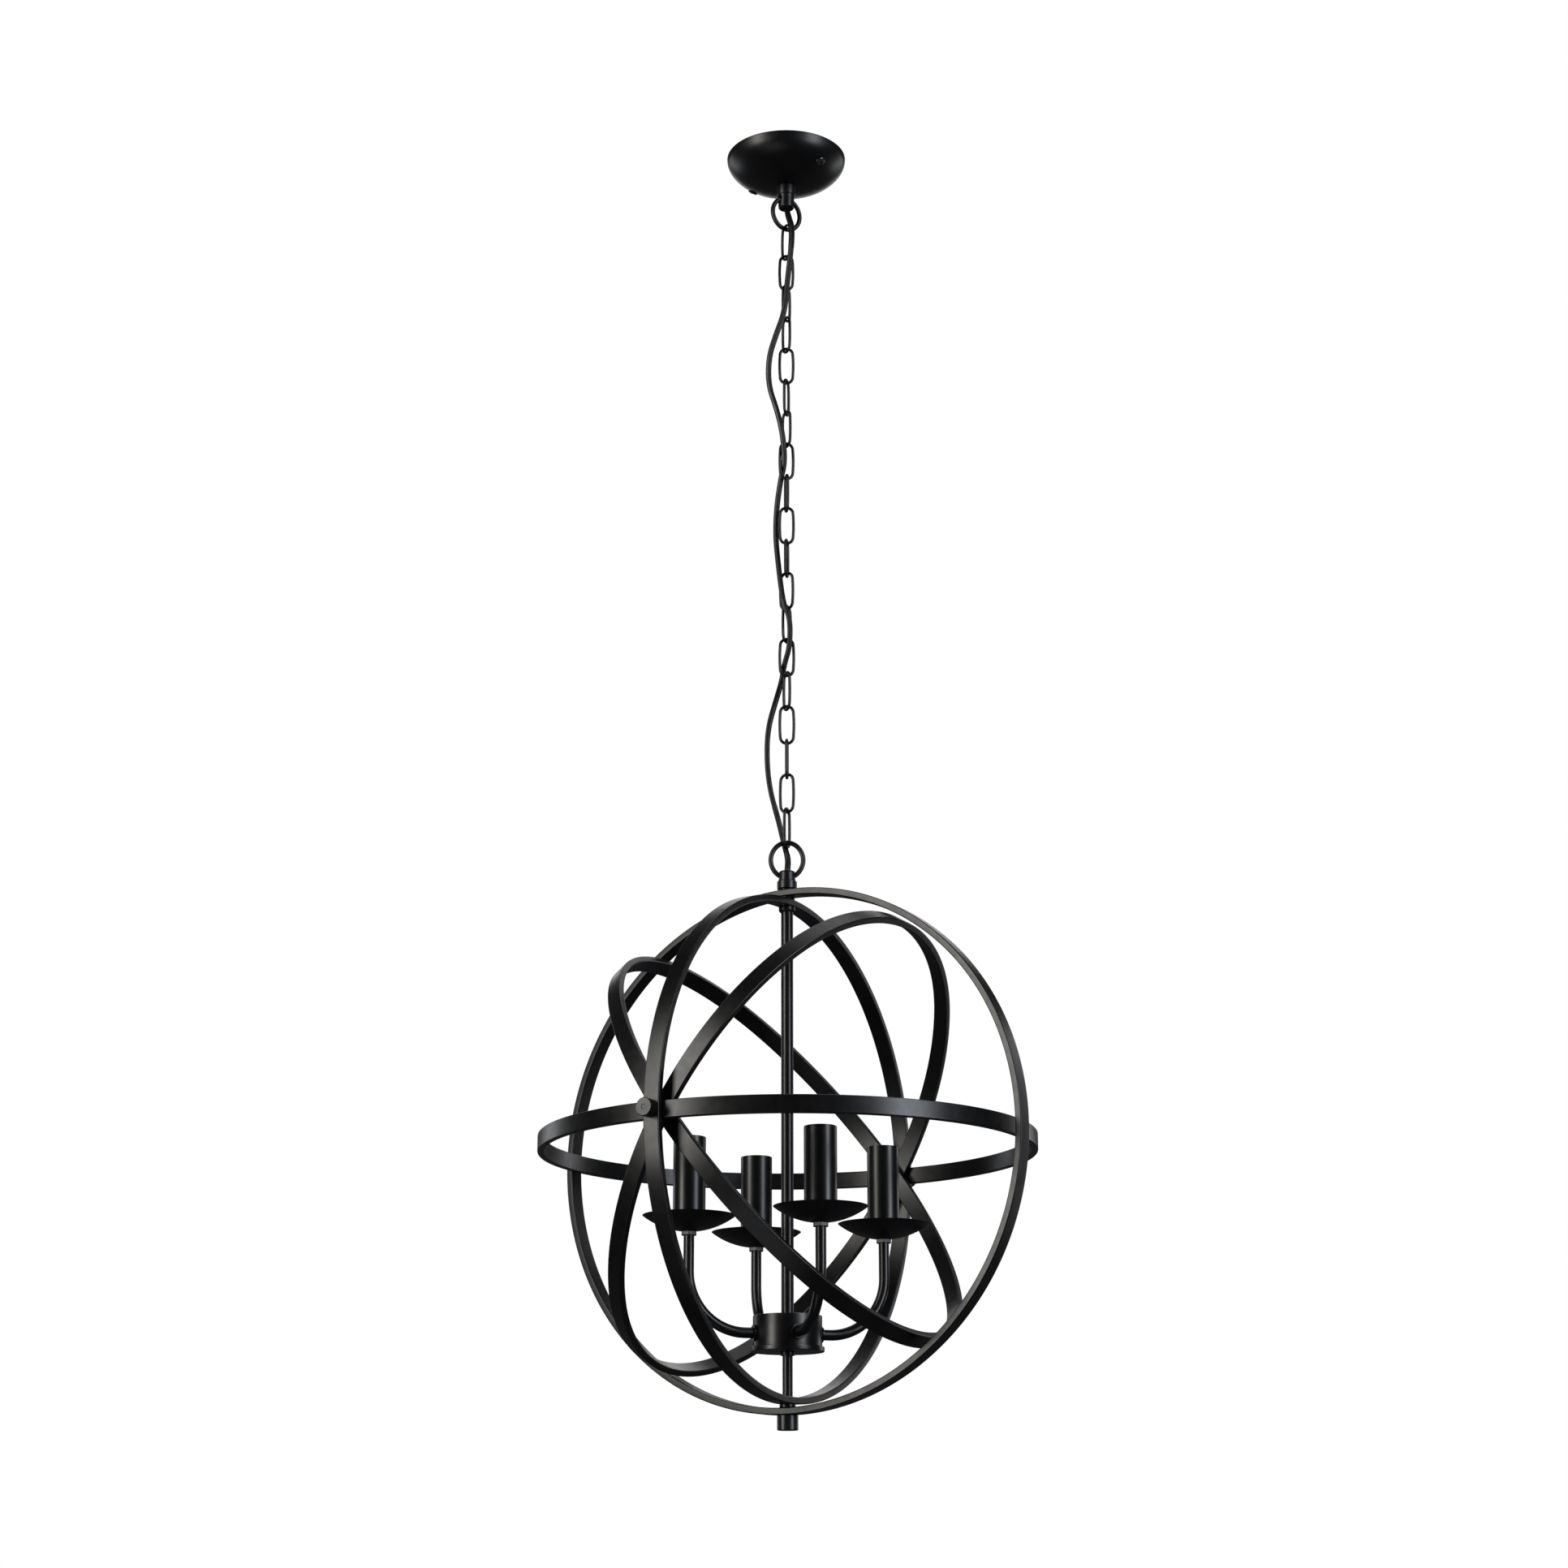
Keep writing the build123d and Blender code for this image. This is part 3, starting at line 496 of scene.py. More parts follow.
# A quarter of the flat twin cord's outline, in half widths, and how much larger the outline is
# drawn than the cord, because the curve stays inside its corners
CORD_CORNERS = [(1.0, 0.52), (0.66, 0.82), (0.3, 0.74), (0.0, 0.5)]
CORD_SPREAD = 1.06


def cord_line(name, points):
    """Smooth open spline whose control points are the route's points."""
    curve = bpy.data.curves.new(name, "CURVE")
    curve.dimensions = "3D"
    spline = curve.splines.new("NURBS")
    spline.points.add(len(points) - 1)
    for spot, point in zip(spline.points, points):
        spot.co = (*(value * MM for value in point), 1)
    spline.order_u = 3
    spline.use_endpoint_u = True
    spline.resolution_u = CORD_LINE_STEPS
    return curve


def cord_section():
    """Outline of a flat twin cord: two round cores side by side under one jacket."""
    curve = bpy.data.curves.new("cord_section", "CURVE")
    curve.dimensions = "2D"
    spline = curve.splines.new("NURBS")
    upper = CORD_CORNERS + [(-across, through) for across, through in CORD_CORNERS[-2::-1]]
    lower = [(-across, -through) for across, through in upper]
    outline = [(1.0, 0.0)] + upper + [(-1.0, 0.0)] + lower
    half = CORD_WIDTH / 2
    spline.points.add(len(outline) - 1)
    for spot, (across, through) in zip(spline.points, outline):
        spot.co = (across * half * CORD_SPREAD * MM, through * half * CORD_SPREAD * MM, 0, 1)
    spline.order_u = 3
    spline.use_cyclic_u = True
    spline.resolution_u = CORD_SECTION_STEPS
    return add_object("cord_section", curve)


def add_cords():
    """Each length of cord: its line, then the jacket drawn along it."""
    section = cord_section()
    for index, (name, points, (first, second, start, end)) in enumerate(CORD_LENGTHS):
        route = add_object(name + "_route", cord_line(name + "_route", points))
        bpy.context.view_layer.update()
        line = bpy.data.meshes.new_from_object(route)
        route.data.bevel_mode = "OBJECT"
        route.data.bevel_object = section
        route.data.use_fill_caps = True
        route.data.twist_mode = "MINIMUM"
        bpy.context.view_layer.update()
        depsgraph = bpy.context.evaluated_depsgraph_get()
        mesh = bpy.data.meshes.new_from_object(route.evaluated_get(depsgraph))
        mesh.name = name
        mesh.materials.clear()
        mesh.materials.append(CORD_JACKET)
        shade(mesh, CORD_SHARP_ANGLE)
        cord = add_object(name, mesh)
        bpy.data.objects.remove(route)
        if second:
            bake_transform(cord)
        else:
            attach(cord, first)
        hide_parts("supply_cord")
    bpy.data.objects.remove(section)


add_cords()

# ---- Rings of the orb ----

ORB = Vector((0, 0, -839.02))
BAR_WIDTH = 13.0
BAR_THICKNESS = 5.2
BAR_EDGE = 0.8
BAR_EDGE_SEGMENTS = 3
BAR_BEND_STEPS = 56
PIVOT = heading(60)
BESIDE = heading(150)


def oval_bar(node, body, place, reach_x, reach_y):
    """Flat bar rolled to an oval of four arcs, with rounded long edges."""
    shape = bmesh.new()
    middle = section_place(reach_x - BAR_THICKNESS / 2)
    edges = flat_section(shape, BAR_THICKNESS, BAR_WIDTH, middle)
    bend_oval(shape, edges, oval_shift(reach_x, reach_y), BAR_BEND_STEPS)
    tidy(shape, RING_JOIN)
    soften(shape, BAR_EDGE, BAR_EDGE_SEGMENTS)
    move(shape, place)
    finish_piece(shape, node + "_bar", RING_COAT, body, [node])


def tilted(tilt):
    """Place of a ring on the pivot bolts, tilted from level."""
    return axes(ORB, PIVOT, BESIDE * cos(radians(tilt)) + UP * sin(radians(tilt)))


# Each ring: its node, its body, its place, and its outer reach along X and Y of that place
RINGS = (
    ("outer_ring", "outer_hoop", axes(ORB, heading(148), UP), 203.0, 200.0),
    ("pivot_ring", FRAME, axes(ORB, PIVOT, UP), 192.2, 192.2),
    ("equator_ring", "equator_hoop", tilted(0), 186.6, 190.7),
    ("middle_ring", "middle_hoop", tilted(-58.7), 181.0, 193.1),
    ("inner_ring", "inner_hoop", tilted(53.8), 175.4, 188.6),
)
for ring in RINGS:
    oval_bar(*ring)

# Bolt as radius and reach from the orb's middle: its shank, then its round head outside the ring
PIVOT_BOLT = [
    (0, 164.8),
    (2.2, 164.8),
    (2.5, 165.2),
    (2.5, 192.25),
    (6.6, 192.25),
    (6.6, 201.2),
    (6.1, 201.7),
    (1.8, 201.7),
    (1.5, 201.4),
    (0, 201.4),
]
PIVOT_NUT_CORNER = 4.62
PIVOT_NUT_HEIGHT = 4.0
PIVOT_NUT_REACH = 167.8
PIVOT_NUT_EDGE = 0.3


def add_nut(shape, corner, height, place):
    """Hexagon nut, from its middle."""
    made = bmesh.ops.create_cone(
        shape, cap_ends=True, segments=6, radius1=corner, radius2=corner, depth=height
    )
    bmesh.ops.transform(shape, verts=made["verts"], matrix=place)


def add_pivots():
    """Headed bolt and hexagon nut at each end of the pivot axis."""
    bolts = bmesh.new()
    nuts = bmesh.new()
    for side in (-1, 1):
        place = axes(ORB, UP, (PIVOT * side).cross(UP))
        lathe(bolts, PIVOT_BOLT, closed=False, place=place)
        nut_place = place @ Matrix.Translation((0, 0, PIVOT_NUT_REACH))
        add_nut(nuts, PIVOT_NUT_CORNER, PIVOT_NUT_HEIGHT, nut_place)
    finish_piece(bolts, "pivot_bolt_set", BOLT_COAT, FRAME, ["pivot_bolts"])
    soften(nuts, PIVOT_NUT_EDGE)
    finish_piece(nuts, "pivot_nut_set", BOLT_COAT, FRAME, ["pivot_nuts"])


add_pivots()

# ---- Canopy ----

CANOPY_RADIUS = 50.0
CANOPY_DEPTH = 25.4
CANOPY_WALL = 1.0
CANOPY_EDGE = 0.3
CANOPY_EDGE_SEGMENTS = 3
CANOPY_ARC_STEPS = 56
CANOPY_TURN_STEPS = 128

# The canopy's two screws: their reach and azimuths, and outlines of radius and height, the head
# from its seat and the shank from the ceiling
SCREW_REACH = 38.8
SCREW_AZIMUTHS = (-42.7, 137.3)
SCREW_HEAD = [
    (0, -2.5),
    (1.9, -2.5),
    (1.9, -0.2),
    (3.5, -0.2),
    (3.9, 0.1),
    (4.0, 0.4),
    (3.8, 0.8),
    (3.2, 1.1),
    (2.3, 1.2),
    (1.75, 1.1),
    (1.6, 0.3),
    (0, 0.2),
]
SCREW_SHANK = [(0, -0.5), (2.0, -0.5), (2.0, -16.4), (0, -16.4)]
SCREW_SHANK_STEPS = 32


def add_canopy():
    """Pressed dome of even wall, open at the ceiling: two quarter arcs pressed flatter."""
    shape = bmesh.new()
    nose = shape.verts.new((0, 0, -CANOPY_RADIUS))
    outer_rim = arc(shape, nose, (0, 0, 0), pi / 2, CANOPY_ARC_STEPS)
    bmesh.ops.scale(shape, verts=shape.verts, vec=(1, 1, CANOPY_DEPTH / CANOPY_RADIUS))
    outer = set(shape.verts)
    inner_radius = CANOPY_RADIUS - CANOPY_WALL
    inner_rim = shape.verts.new((inner_radius, 0, 0))
    arc(shape, inner_rim, (0, 0, 0), -pi / 2, CANOPY_ARC_STEPS)
    inner = [vert for vert in shape.verts if vert not in outer]
    inner_press = (CANOPY_DEPTH - CANOPY_WALL) / inner_radius
    bmesh.ops.scale(shape, verts=inner, vec=(1, 1, inner_press))
    shape.edges.new((outer_rim, inner_rim))
    turn_round(shape, CANOPY_TURN_STEPS)
    soften(shape, CANOPY_EDGE, CANOPY_EDGE_SEGMENTS, PRESSED_EDGE_ANGLE)
    finish_piece(shape, "canopy_dome", CANOPY_COAT, CEILING, ["canopy"])


def add_canopy_screws():
    """Two low round heads, each seated square on the dome's flank, with a round recess."""
    shape = bmesh.new()
    share = SCREW_REACH / CANOPY_RADIUS
    fall = sqrt(1 - share**2)
    lean = atan2(CANOPY_DEPTH * share, CANOPY_RADIUS * fall)
    for azimuth in SCREW_AZIMUTHS:
        outward = heading(azimuth)
        across = heading(azimuth + 90)
        normal = outward * sin(lean) - UP * cos(lean)
        seat = outward * SCREW_REACH - UP * CANOPY_DEPTH * fall
        lathe(
            shape,
            SCREW_HEAD,
            closed=False,
            steps=SMALL_TURN_STEPS,
            place=axes(seat, across, normal.cross(across)),
        )
        lathe(
            shape,
            SCREW_SHANK,
            closed=False,
            steps=SCREW_SHANK_STEPS,
            place=Matrix.Translation(outward * SCREW_REACH),
        )
    finish_piece(shape, "canopy_screw_set", BLACK_ZINC, CEILING, ["canopy_screws"])


add_canopy()
add_canopy_screws()

# ---- Loop rings and chain ----

LOOP_HALF_WIDTH = 12.7
LOOP_HALF_HEIGHT = 14.2
LOOP_WIRE = 3.8
LOOP_SIDES = 20
LOOP_BEND_STEPS = 24


def loop_ring(name, azimuth, height):
    """Round wire closed to a tall loop."""
    shape = bmesh.new()
    edges = round_section(shape, LOOP_WIRE / 2, LOOP_SIDES, section_place(LOOP_HALF_WIDTH))
    bend_oval(shape, edges, oval_shift(LOOP_HALF_WIDTH, LOOP_HALF_HEIGHT), LOOP_BEND_STEPS)
    move(shape, axes((0, 0, height), heading(azimuth), UP))
    tidy(shape, RING_JOIN)
    finish_piece(shape, name, CHAIN_COAT, name, [name + "_ring"], weighted=False)


loop_ring("top_loop", 28, -51.0)
loop_ring("bottom_loop", 0, -614.14)

LINK_HALF_WIDTH = 5.6
LINK_HALF_LENGTH = 15.53
LINK_END_RADIUS = 5.2
LINK_WIRE = 2.4
LINK_HALF_SEAM = 0.075
LINK_SIDES = 14
LINK_END_STEPS = 14
LINK_LEG_STEPS = 8
LINK_HALF_LEG_STEPS = 5
LINK_AZIMUTHS = [-54, 0, 59, -59, 0, 71, -56, 13, -79, 0, 79, -26, 57, 0, -65, 0, 86, -20, 69]
FIRST_LINK = -77.33
LINK_PITCH = 28.36


def chain_link(number, azimuth, height):
    """Wire link with round ends and long bowed legs; its ends butt in the middle of one leg."""
    end_centre = LINK_HALF_LENGTH - LINK_END_RADIUS
    leg_radius = (LINK_HALF_WIDTH**2 + end_centre**2 - LINK_END_RADIUS**2) / (
        2 * (LINK_HALF_WIDTH - LINK_END_RADIUS)
    )
    lean = atan2(end_centre, leg_radius - LINK_HALF_WIDTH)
    leg_centre = LINK_HALF_WIDTH - leg_radius
    start = LINK_HALF_SEAM / leg_radius
    shape = bmesh.new()
    edges = round_section(shape, LINK_WIRE / 2, LINK_SIDES, section_place(LINK_HALF_WIDTH))
    bmesh.ops.rotate(
        shape, verts=shape.verts, cent=(leg_centre, 0, 0), matrix=Matrix.Rotation(start, 3, "Z")
    )
    close_end(shape, edges)
    for centre, angle, steps in (
        ((leg_centre, 0, 0), lean - start, LINK_HALF_LEG_STEPS),
        ((0, end_centre, 0), pi - 2 * lean, LINK_END_STEPS),
        ((-leg_centre, 0, 0), 2 * lean, LINK_LEG_STEPS),
        ((0, -end_centre, 0), pi - 2 * lean, LINK_END_STEPS),
        ((leg_centre, 0, 0), lean - start, LINK_HALF_LEG_STEPS),
    ):
        edges = bend(shape, edges, centre, angle, steps)
    close_end(shape, edges)
    move(shape, axes((0, 0, height), heading(azimuth), UP))
    node = f"link_{number:02d}"
    finish_piece(shape, "chain_" + node, CHAIN_COAT, CHAIN, [node], weighted=False)


for index, azimuth in enumerate(LINK_AZIMUTHS):
    chain_link(index + 1, azimuth, FIRST_LINK - index * LINK_PITCH)

# ---- Candle cluster ----

# Radii and heights of the stem, the hub and what holds them
STEM = 4.7
STEM_BORE = 3.5
STEM_TOP = -630.74
STEM_FOOT = -974.82
LOWER_STEM = 3.8
SPIGOT_TOP = -966.9
LOWER_STEM_FOOT = -1046.17
FINIAL = 7.9
FINIAL_TOP = -1039.17
FINIAL_FOOT = -1050.07
HUB = 25.9
HUB_WALL = 1.2
HUB_TOP = -966.62
HUB_BOTTOM = -993.22
LID = 27.6
LID_CLEARANCE = 0.05
LID_HEIGHT = 3.7

# Arms, cups, sleeves and lamp holders
ARM_AZIMUTHS = [18.3, 108.3, 198.3, 288.3]
ARM_HEIGHT = -979.92
ARM_RADIUS = 77.3
ARM_TUBE = 4.0
ARM_START = 19.0
ARM_BEND = 43.8
ARM_ABOVE_CUP = 5
ARM_SIDES = 32
ARM_BEND_STEPS = 32
CUP_BOTTOM = -906.72
CUP_SPHERE = -849.3
CUP_SPHERE_RADIUS = 57.42
CUP_WALL = 0.9
CUP_RIM = 35.0
CUP_EDGE = 0.28
CUP_ARC_STEPS = 20
SLEEVE = 12.2
SLEEVE_BORE = 11.2
SLEEVE_FOOT = -904.49
SLEEVE_TOP = -836.29
TUBE_END_EDGE = 0.4
HOLDER_TOP = -837.29
HOLDER = [
    (0, -861.29),
    (6.95, -861.29),
    (6.95, HOLDER_TOP),
    (10.9, HOLDER_TOP),
    (10.9, -886.25),
    (8.0, -886.25),
    (8.0, -905.25),
    (4.0, -905.25),
    (4.0, -881.25),
    (0, -881.25),
]

# Rolled thread of the lamp socket, as radius and drop from each turn's root, and its contact
THREAD_TOP = -840.2
THREAD_PITCH = 2.8
THREAD_TURNS = 7
THREAD = [(6.35, 0), (6.5, 0.7), (6.85, 1.4), (6.5, 2.1)]
SHELL = 6.92
CONTACT = [(0, -861.27), (3.0, -861.27), (3.0, -860.2), (2.2, -859.79), (0, -859.79)]

# Ferrules at the hub, and nuts under the cups
FERRULE = 6.0
FERRULE_OUTER_END = 27.4
FERRULE_EDGE = 0.3
CUP_NUT_CORNER = 6.35
CUP_NUT_HEIGHT = 3.0
CUP_NUT_EDGE = 0.35


def tube_outline(outer, inner, top, bottom):
    return [(inner, top), (outer, top), (outer, bottom), (inner, bottom)]


# Pieces turned on the stem's axis: name, finish, node, rounding, and outlines of radius and height
TURNED_PIECES = (
    (
        "stem_tube",
        TUBE_COAT,
        "centre_stem",
        0.2,
        [tube_outline(STEM, STEM_BORE, STEM_TOP, STEM_FOOT)],
    ),
    (
        "lower_stem_tube",
        TUBE_COAT,
        "lower_stem",
        0.15,
        [
            [
                (0, SPIGOT_TOP),
                (STEM_BORE, SPIGOT_TOP),
                (STEM_BORE, STEM_FOOT),
                (LOWER_STEM, STEM_FOOT),
                (LOWER_STEM, LOWER_STEM_FOOT),
                (0, LOWER_STEM_FOOT),
            ]
        ],
    ),
    (
        "finial_cap",
        BOLT_COAT,
        "bottom_finial",
        0.5,
        [
            [
                (LOWER_STEM, LOWER_STEM_FOOT),
                (LOWER_STEM, FINIAL_TOP),
                (FINIAL, FINIAL_TOP),
                (FINIAL, FINIAL_FOOT),
                (0, FINIAL_FOOT),
                (0, LOWER_STEM_FOOT),
            ]
        ],
    ),
    # Washer, upper and lower spacer, chamfered round nut, lock nut in the hub, nut under the lid
    (
        "stem_fittings",
        BOLT_COAT,
        "stem_hardware",
        0.2,
        [
            tube_outline(6.5, STEM, -638.07, -638.87),
            tube_outline(6.0, STEM, -644.46, -646.67),
            tube_outline(6.0, LOWER_STEM, -1031.37, -1033.58),
            [(STEM, -652.28), (6.45, -652.28), (6.45, -655.28), (5.25, -656.48), (STEM, -656.48)],
            tube_outline(8.6, STEM, HUB_TOP - HUB_WALL, -970.82),
            tube_outline(5.5, LOWER_STEM, HUB_BOTTOM, -995.82),
        ],
    ),
    (
        "hub_can",
        TUBE_COAT,
        "hub_cup",
        1.0,
        [
            [
                (STEM, HUB_TOP),
                (HUB, HUB_TOP),
                (HUB, HUB_BOTTOM + HUB_WALL),
                (HUB - HUB_WALL, HUB_BOTTOM + HUB_WALL),
                (HUB - HUB_WALL, HUB_TOP - HUB_WALL),
                (STEM, HUB_TOP - HUB_WALL),
            ]
        ],
    ),
    (
        "hub_lid",
        TUBE_COAT,
        "hub_cover",
        0.55,
        [
            [
                (LOWER_STEM, HUB_BOTTOM),
                (LID, HUB_BOTTOM),
                (LID, HUB_BOTTOM + LID_HEIGHT),
                (HUB + LID_CLEARANCE, HUB_BOTTOM + LID_HEIGHT),
                (HUB + LID_CLEARANCE, HUB_BOTTOM + HUB_WALL),
                (LOWER_STEM, HUB_BOTTOM + HUB_WALL),
            ]
        ],
    ),
)


def turned_piece(name, finish, node, edge, outlines):
    """Piece turned on the stem's axis, from one outline or several."""
    shape = bmesh.new()
    for outline in outlines:
        lathe(shape, outline)
    tidy(shape)
    soften(shape, edge)
    finish_piece(shape, name, finish, CLUSTER, [node])


for piece in TURNED_PIECES:
    turned_piece(*piece)


def add_arm(number, azimuth):
    """Tube that leaves the hub level and turns up to its cup."""
    shape = bmesh.new()
    place = Matrix.Translation((ARM_START, 0, 0)) @ Matrix.Rotation(pi / 2, 4, "Y")
    edges = round_section(shape, ARM_TUBE, ARM_SIDES, place)
    close_end(shape, edges)
    edges = run(shape, edges, (ARM_RADIUS - ARM_BEND - ARM_START, 0, 0))
    edges = bend(shape, edges, (ARM_RADIUS - ARM_BEND, ARM_BEND, 0), pi / 2, ARM_BEND_STEPS)
    edges = run(shape, edges, (0, CUP_BOTTOM + ARM_ABOVE_CUP - ARM_HEIGHT - ARM_BEND, 0))
    close_end(shape, edges)
    move(shape, axes((0, 0, ARM_HEIGHT), heading(azimuth), UP))
    finish_piece(shape, f"arm_tube_{number}", TUBE_COAT, CLUSTER, [f"arm_{number}"])


def dish(centre, reach, wall, hole, rim):
    """Shallow bowl of even wall: part of a ball, with a hole in its foot."""
    shape = bmesh.new()
    middle = (0, 0, centre)
    foot = shape.verts.new((hole, 0, centre - sqrt(reach**2 - hole**2)))
    outer_turn = asin(rim / reach) - asin(hole / reach)
    outer_rim = arc(shape, foot, middle, outer_turn, CUP_ARC_STEPS)
    inner = reach - wall
    height = outer_rim.co.z - centre
    inner_rim = shape.verts.new((sqrt(inner**2 - height**2), 0, outer_rim.co.z))
    inner_turn = asin(hole / inner) - atan2(inner_rim.co.x, -height)
    inner_foot = arc(shape, inner_rim, middle, inner_turn, CUP_ARC_STEPS)
    shape.edges.new((outer_rim, inner_rim))
    shape.edges.new((inner_foot, foot))
    turn_round(shape, TURN_STEPS)
    return shape


def add_candle(number, azimuth):
    """Dished cup, sleeve and lamp holder on one arm."""
    place = Matrix.Translation(heading(azimuth) * ARM_RADIUS)
    cup = dish(CUP_SPHERE, CUP_SPHERE_RADIUS, CUP_WALL, ARM_TUBE, CUP_RIM)
    move(cup, place)
    soften(cup, CUP_EDGE, limit=PRESSED_EDGE_ANGLE)
    finish_piece(cup, f"drip_dish_{number}", CANOPY_COAT, CLUSTER, [f"drip_cup_{number}"])

    sleeve = bmesh.new()
    lathe(sleeve, tube_outline(SLEEVE, SLEEVE_BORE, SLEEVE_TOP, SLEEVE_FOOT))
    move(sleeve, place)
    tidy(sleeve)
    soften(sleeve, TUBE_END_EDGE, segments=3)
    nodes = [f"candle_sleeve_{number}"]
    finish_piece(sleeve, f"sleeve_tube_{number}", SLEEVE_COAT, CLUSTER, nodes)

    holder = bmesh.new()
    lathe(holder, HOLDER, closed=False)
    move(holder, place)
    tidy(holder)
    soften(holder, TUBE_END_EDGE)
    nodes = [f"lamp_holder_{number}"]
    finish_piece(holder, f"holder_body_{number}", HOLDER_PLASTIC, CLUSTER, nodes)

    shell = bmesh.new()
    thread = [
        (radius, THREAD_TOP - turn * THREAD_PITCH - drop)
        for turn in range(THREAD_TURNS)
        for radius, drop in THREAD
    ]
    lathe(shell, thread + [(SHELL, height) for _, height in reversed(thread)])
    lathe(shell, CONTACT, closed=False)
    move(shell, place)
    finish_piece(shell, f"lamp_contacts_{number}", BRASS, CLUSTER, [])


def add_small_arm_pieces():
    """Ferrules where the arms leave the hub, and the nuts under the cups."""
    ferrules = bmesh.new()
    nuts = bmesh.new()
    for azimuth in ARM_AZIMUTHS:
        outward = heading(azimuth)
        lathe(
            ferrules,
            tube_outline(FERRULE, ARM_TUBE, FERRULE_OUTER_END, HUB),
            steps=SMALL_TURN_STEPS,
            place=axes((0, 0, ARM_HEIGHT), UP, outward.cross(UP)),
        )
        spot = outward * ARM_RADIUS + UP * (CUP_BOTTOM - CUP_NUT_HEIGHT / 2)
        add_nut(nuts, CUP_NUT_CORNER, CUP_NUT_HEIGHT, Matrix.Translation(spot))
    tidy(ferrules)
    soften(ferrules, FERRULE_EDGE)
    soften(nuts, CUP_NUT_EDGE)
    finish_piece(ferrules, "ferrule_set", BOLT_COAT, CLUSTER, ["arm_ferrules"])
    finish_piece(nuts, "cup_nut_set", BOLT_COAT, CLUSTER, ["cup_nuts"])


for index, azimuth in enumerate(ARM_AZIMUTHS):
    add_arm(index + 1, azimuth)
    add_candle(index + 1, azimuth)
add_small_arm_pieces()

# ---- Pieces that keep their own shape and get a finish ----

for node, finish in (
    ("ceiling_bracket", ZINC),
    ("canopy_nut", ZINC),
    ("terminal_block", TERMINAL_PLASTIC),
):
    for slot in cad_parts[node].material_slots:
        slot.material = finish


# How close a copy's points are joined, in metres, and the sharpest bend that it smooths
COPY_JOIN = 0.000002
COPY_SHARP_ANGLE = 35


def smooth_collar(node, body):
    """Drilled collar: a merged copy of the node, smooth between its real edges."""
    shape = bmesh.new()
    shape.from_mesh(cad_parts[node].data)
    bmesh.ops.remove_doubles(shape, verts=shape.verts, dist=COPY_JOIN)
    bmesh.ops.scale(shape, verts=shape.verts, vec=(1 / MM, 1 / MM, 1 / MM))
    finish_piece(shape, node + "_body", COLLAR_COAT, body, [node], sharp=COPY_SHARP_ANGLE)


smooth_collar("canopy_collar", CEILING)
smooth_collar("stem_collar", CLUSTER)

# ---- Studio, in metres ----

FLOOR_REACH = 7.0
FLOOR_HEIGHT = -2.0
FLOOR_SIDES = 96
FLOOR_GLOW = 0.88
FLOOR_ROUGHNESS = 0.9
FLOOR_SPECULAR = 0.1
FLOOR_CLOUD = 0.8
FLOOR_DARK = 0.11
FLOOR_LIGHT = 0.14
BACKDROP_REACH = 7.2
BACKDROP_SEGMENTS = 64
WHITE = (1.0, 1.0, 1.0)


def add_floor():
    """Pale floor far below."""
    shape = bmesh.new()
    bmesh.ops.create_circle(shape, cap_ends=True, segments=FLOOR_SIDES, radius=FLOOR_REACH)
    bmesh.ops.translate(shape, verts=shape.verts, vec=(0, 0, FLOOR_HEIGHT))
    mesh = bpy.data.meshes.new("floor")
    shape.to_mesh(mesh)
    shape.free()
    floor = add_object("floor", mesh)
    paint, nodes, links, shader, places = start_finish("floor_paint")
    cloud = mottle(nodes, links, places, FLOOR_CLOUD)
    dark, light = grey(FLOOR_DARK), grey(FLOOR_LIGHT)
    links.new(between(nodes, links, cloud, dark, light), shader.inputs["Base Color"])
    shader.inputs["Roughness"].default_value = FLOOR_ROUGHNESS
    shader.inputs["Specular IOR Level"].default_value = FLOOR_SPECULAR
    shader.inputs["Emission Color"].default_value = (*WHITE, 1)
    shader.inputs["Emission Strength"].default_value = FLOOR_GLOW
    mesh.materials.append(paint)
    floor.visible_glossy = False


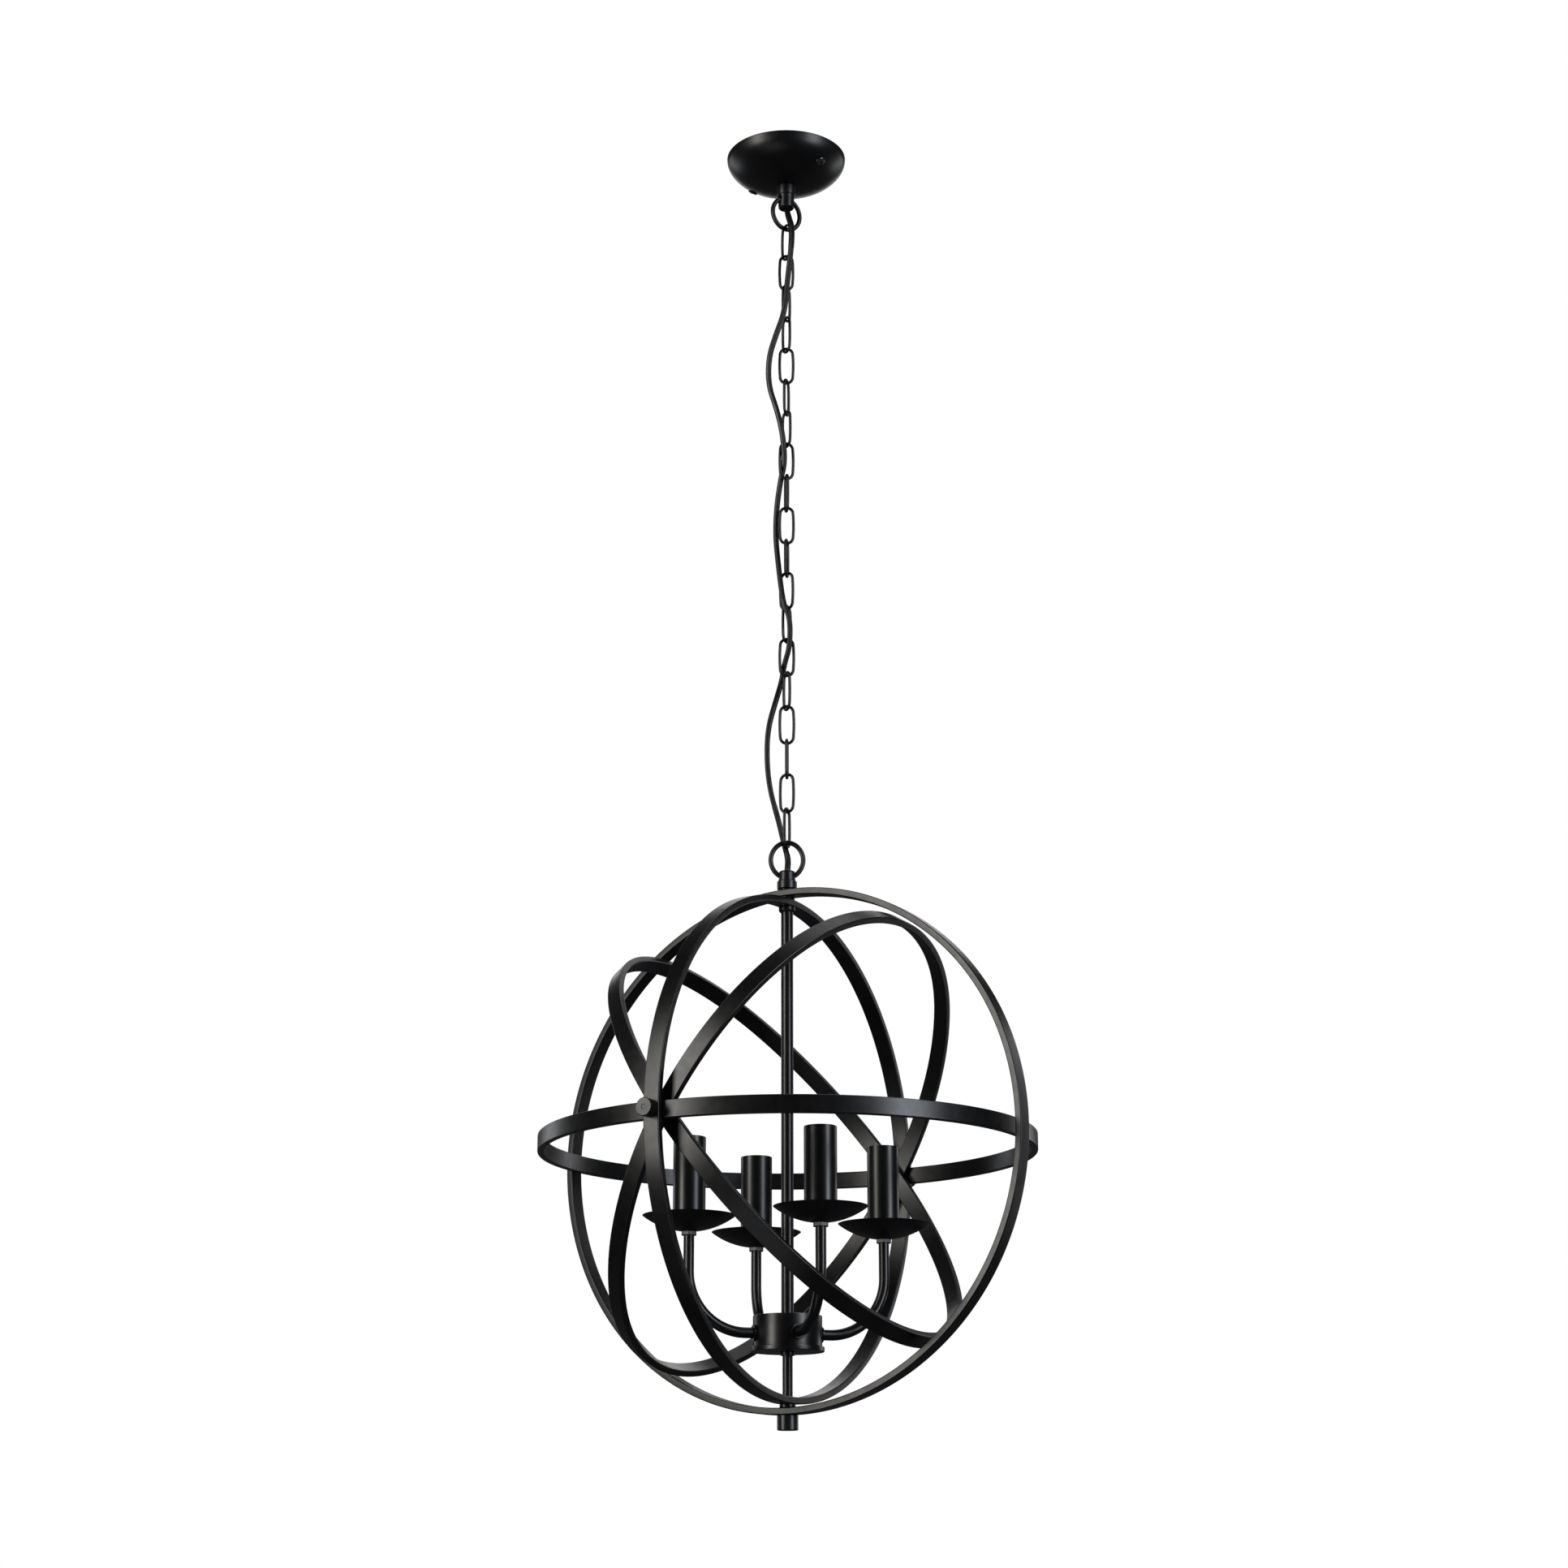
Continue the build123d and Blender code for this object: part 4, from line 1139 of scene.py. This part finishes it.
def add_backdrop():
    """Pale shell all round that lights nothing by itself."""
    shape = bmesh.new()
    bmesh.ops.create_uvsphere(
        shape,
        u_segments=BACKDROP_SEGMENTS,
        v_segments=BACKDROP_SEGMENTS // 2,
        radius=BACKDROP_REACH,
    )
    bmesh.ops.reverse_faces(shape, faces=shape.faces)
    mesh = bpy.data.meshes.new("backdrop")
    shape.to_mesh(mesh)
    shape.free()
    backdrop = add_object("backdrop", mesh)
    paper = bpy.data.materials.new("backdrop_paper")
    paper.use_nodes = True
    nodes = paper.node_tree.nodes
    nodes.remove(nodes["Principled BSDF"])
    glow = nodes.new("ShaderNodeEmission")
    glow.inputs["Color"].default_value = (*WHITE, 1)
    glow.inputs["Strength"].default_value = 1.0
    paper.node_tree.links.new(glow.outputs["Emission"], nodes["Material Output"].inputs["Surface"])
    mesh.materials.append(paper)
    for ray in ("diffuse", "glossy", "transmission", "volume_scatter", "shadow"):
        setattr(backdrop, "visible_" + ray, False)


def soft_light(name, place, target, width, height, power, colour):
    """Rectangular light that doesn't show itself to the camera."""
    data = bpy.data.lights.new(name, "AREA")
    data.shape = "RECTANGLE"
    data.size = width
    data.size_y = height
    data.energy = power
    data.color = colour
    light = add_object(name, data)
    light.location = place
    light.visible_camera = False
    light.rotation_mode = "QUATERNION"
    light.rotation_quaternion = (Vector(target) - Vector(place)).to_track_quat("-Z", "Y")


add_floor()
add_backdrop()

# Each light: place, target, width, height, power in watts, colour
CHAIN_MIDDLE = (0, 0, -0.5)
LAMP_MIDDLE = (0, 0, -0.6)
LIGHTS = (
    ("left_box", (-1.97, -1.4, -0.1), CHAIN_MIDDLE, 0.8, 2.4, 42, (1.0, 0.98, 0.92)),
    ("right_box", (1.9, -1.5, -0.1), CHAIN_MIDDLE, 0.8, 2.4, 44, (0.86, 0.91, 1.0)),
    ("top_box", (0.2, 0.6, 1.6), LAMP_MIDDLE, 1.6, 1.6, 8, WHITE),
    ("back_panel", (0, 4.0, 1.4), (0, 0, -0.3), 3.4, 2.2, 30, (0.98, 0.98, 1.0)),
    ("back_left", (-2.0, 1.9, -0.4), LAMP_MIDDLE, 0.7, 1.8, 7, (0.95, 0.97, 1.0)),
    ("back_right", (2.0, 1.9, -0.4), LAMP_MIDDLE, 0.7, 1.8, 7, (0.97, 0.98, 1.0)),
    ("low_bounce", (-0.9, -1.3, -2.4), (0, 0, -0.2), 1.4, 1.4, 3, WHITE),
)
for light in LIGHTS:
    soft_light(*light)

ROOM_COLOUR = (0.035, 0.035, 0.039, 1)
world = bpy.data.worlds.new("studio")
bpy.context.scene.world = world
world.use_nodes = True
room = world.node_tree.nodes["Background"]
room.inputs["Color"].default_value = ROOM_COLOUR
room.inputs["Strength"].default_value = 1.0
bpy.context.scene.view_settings.view_transform = "Standard"
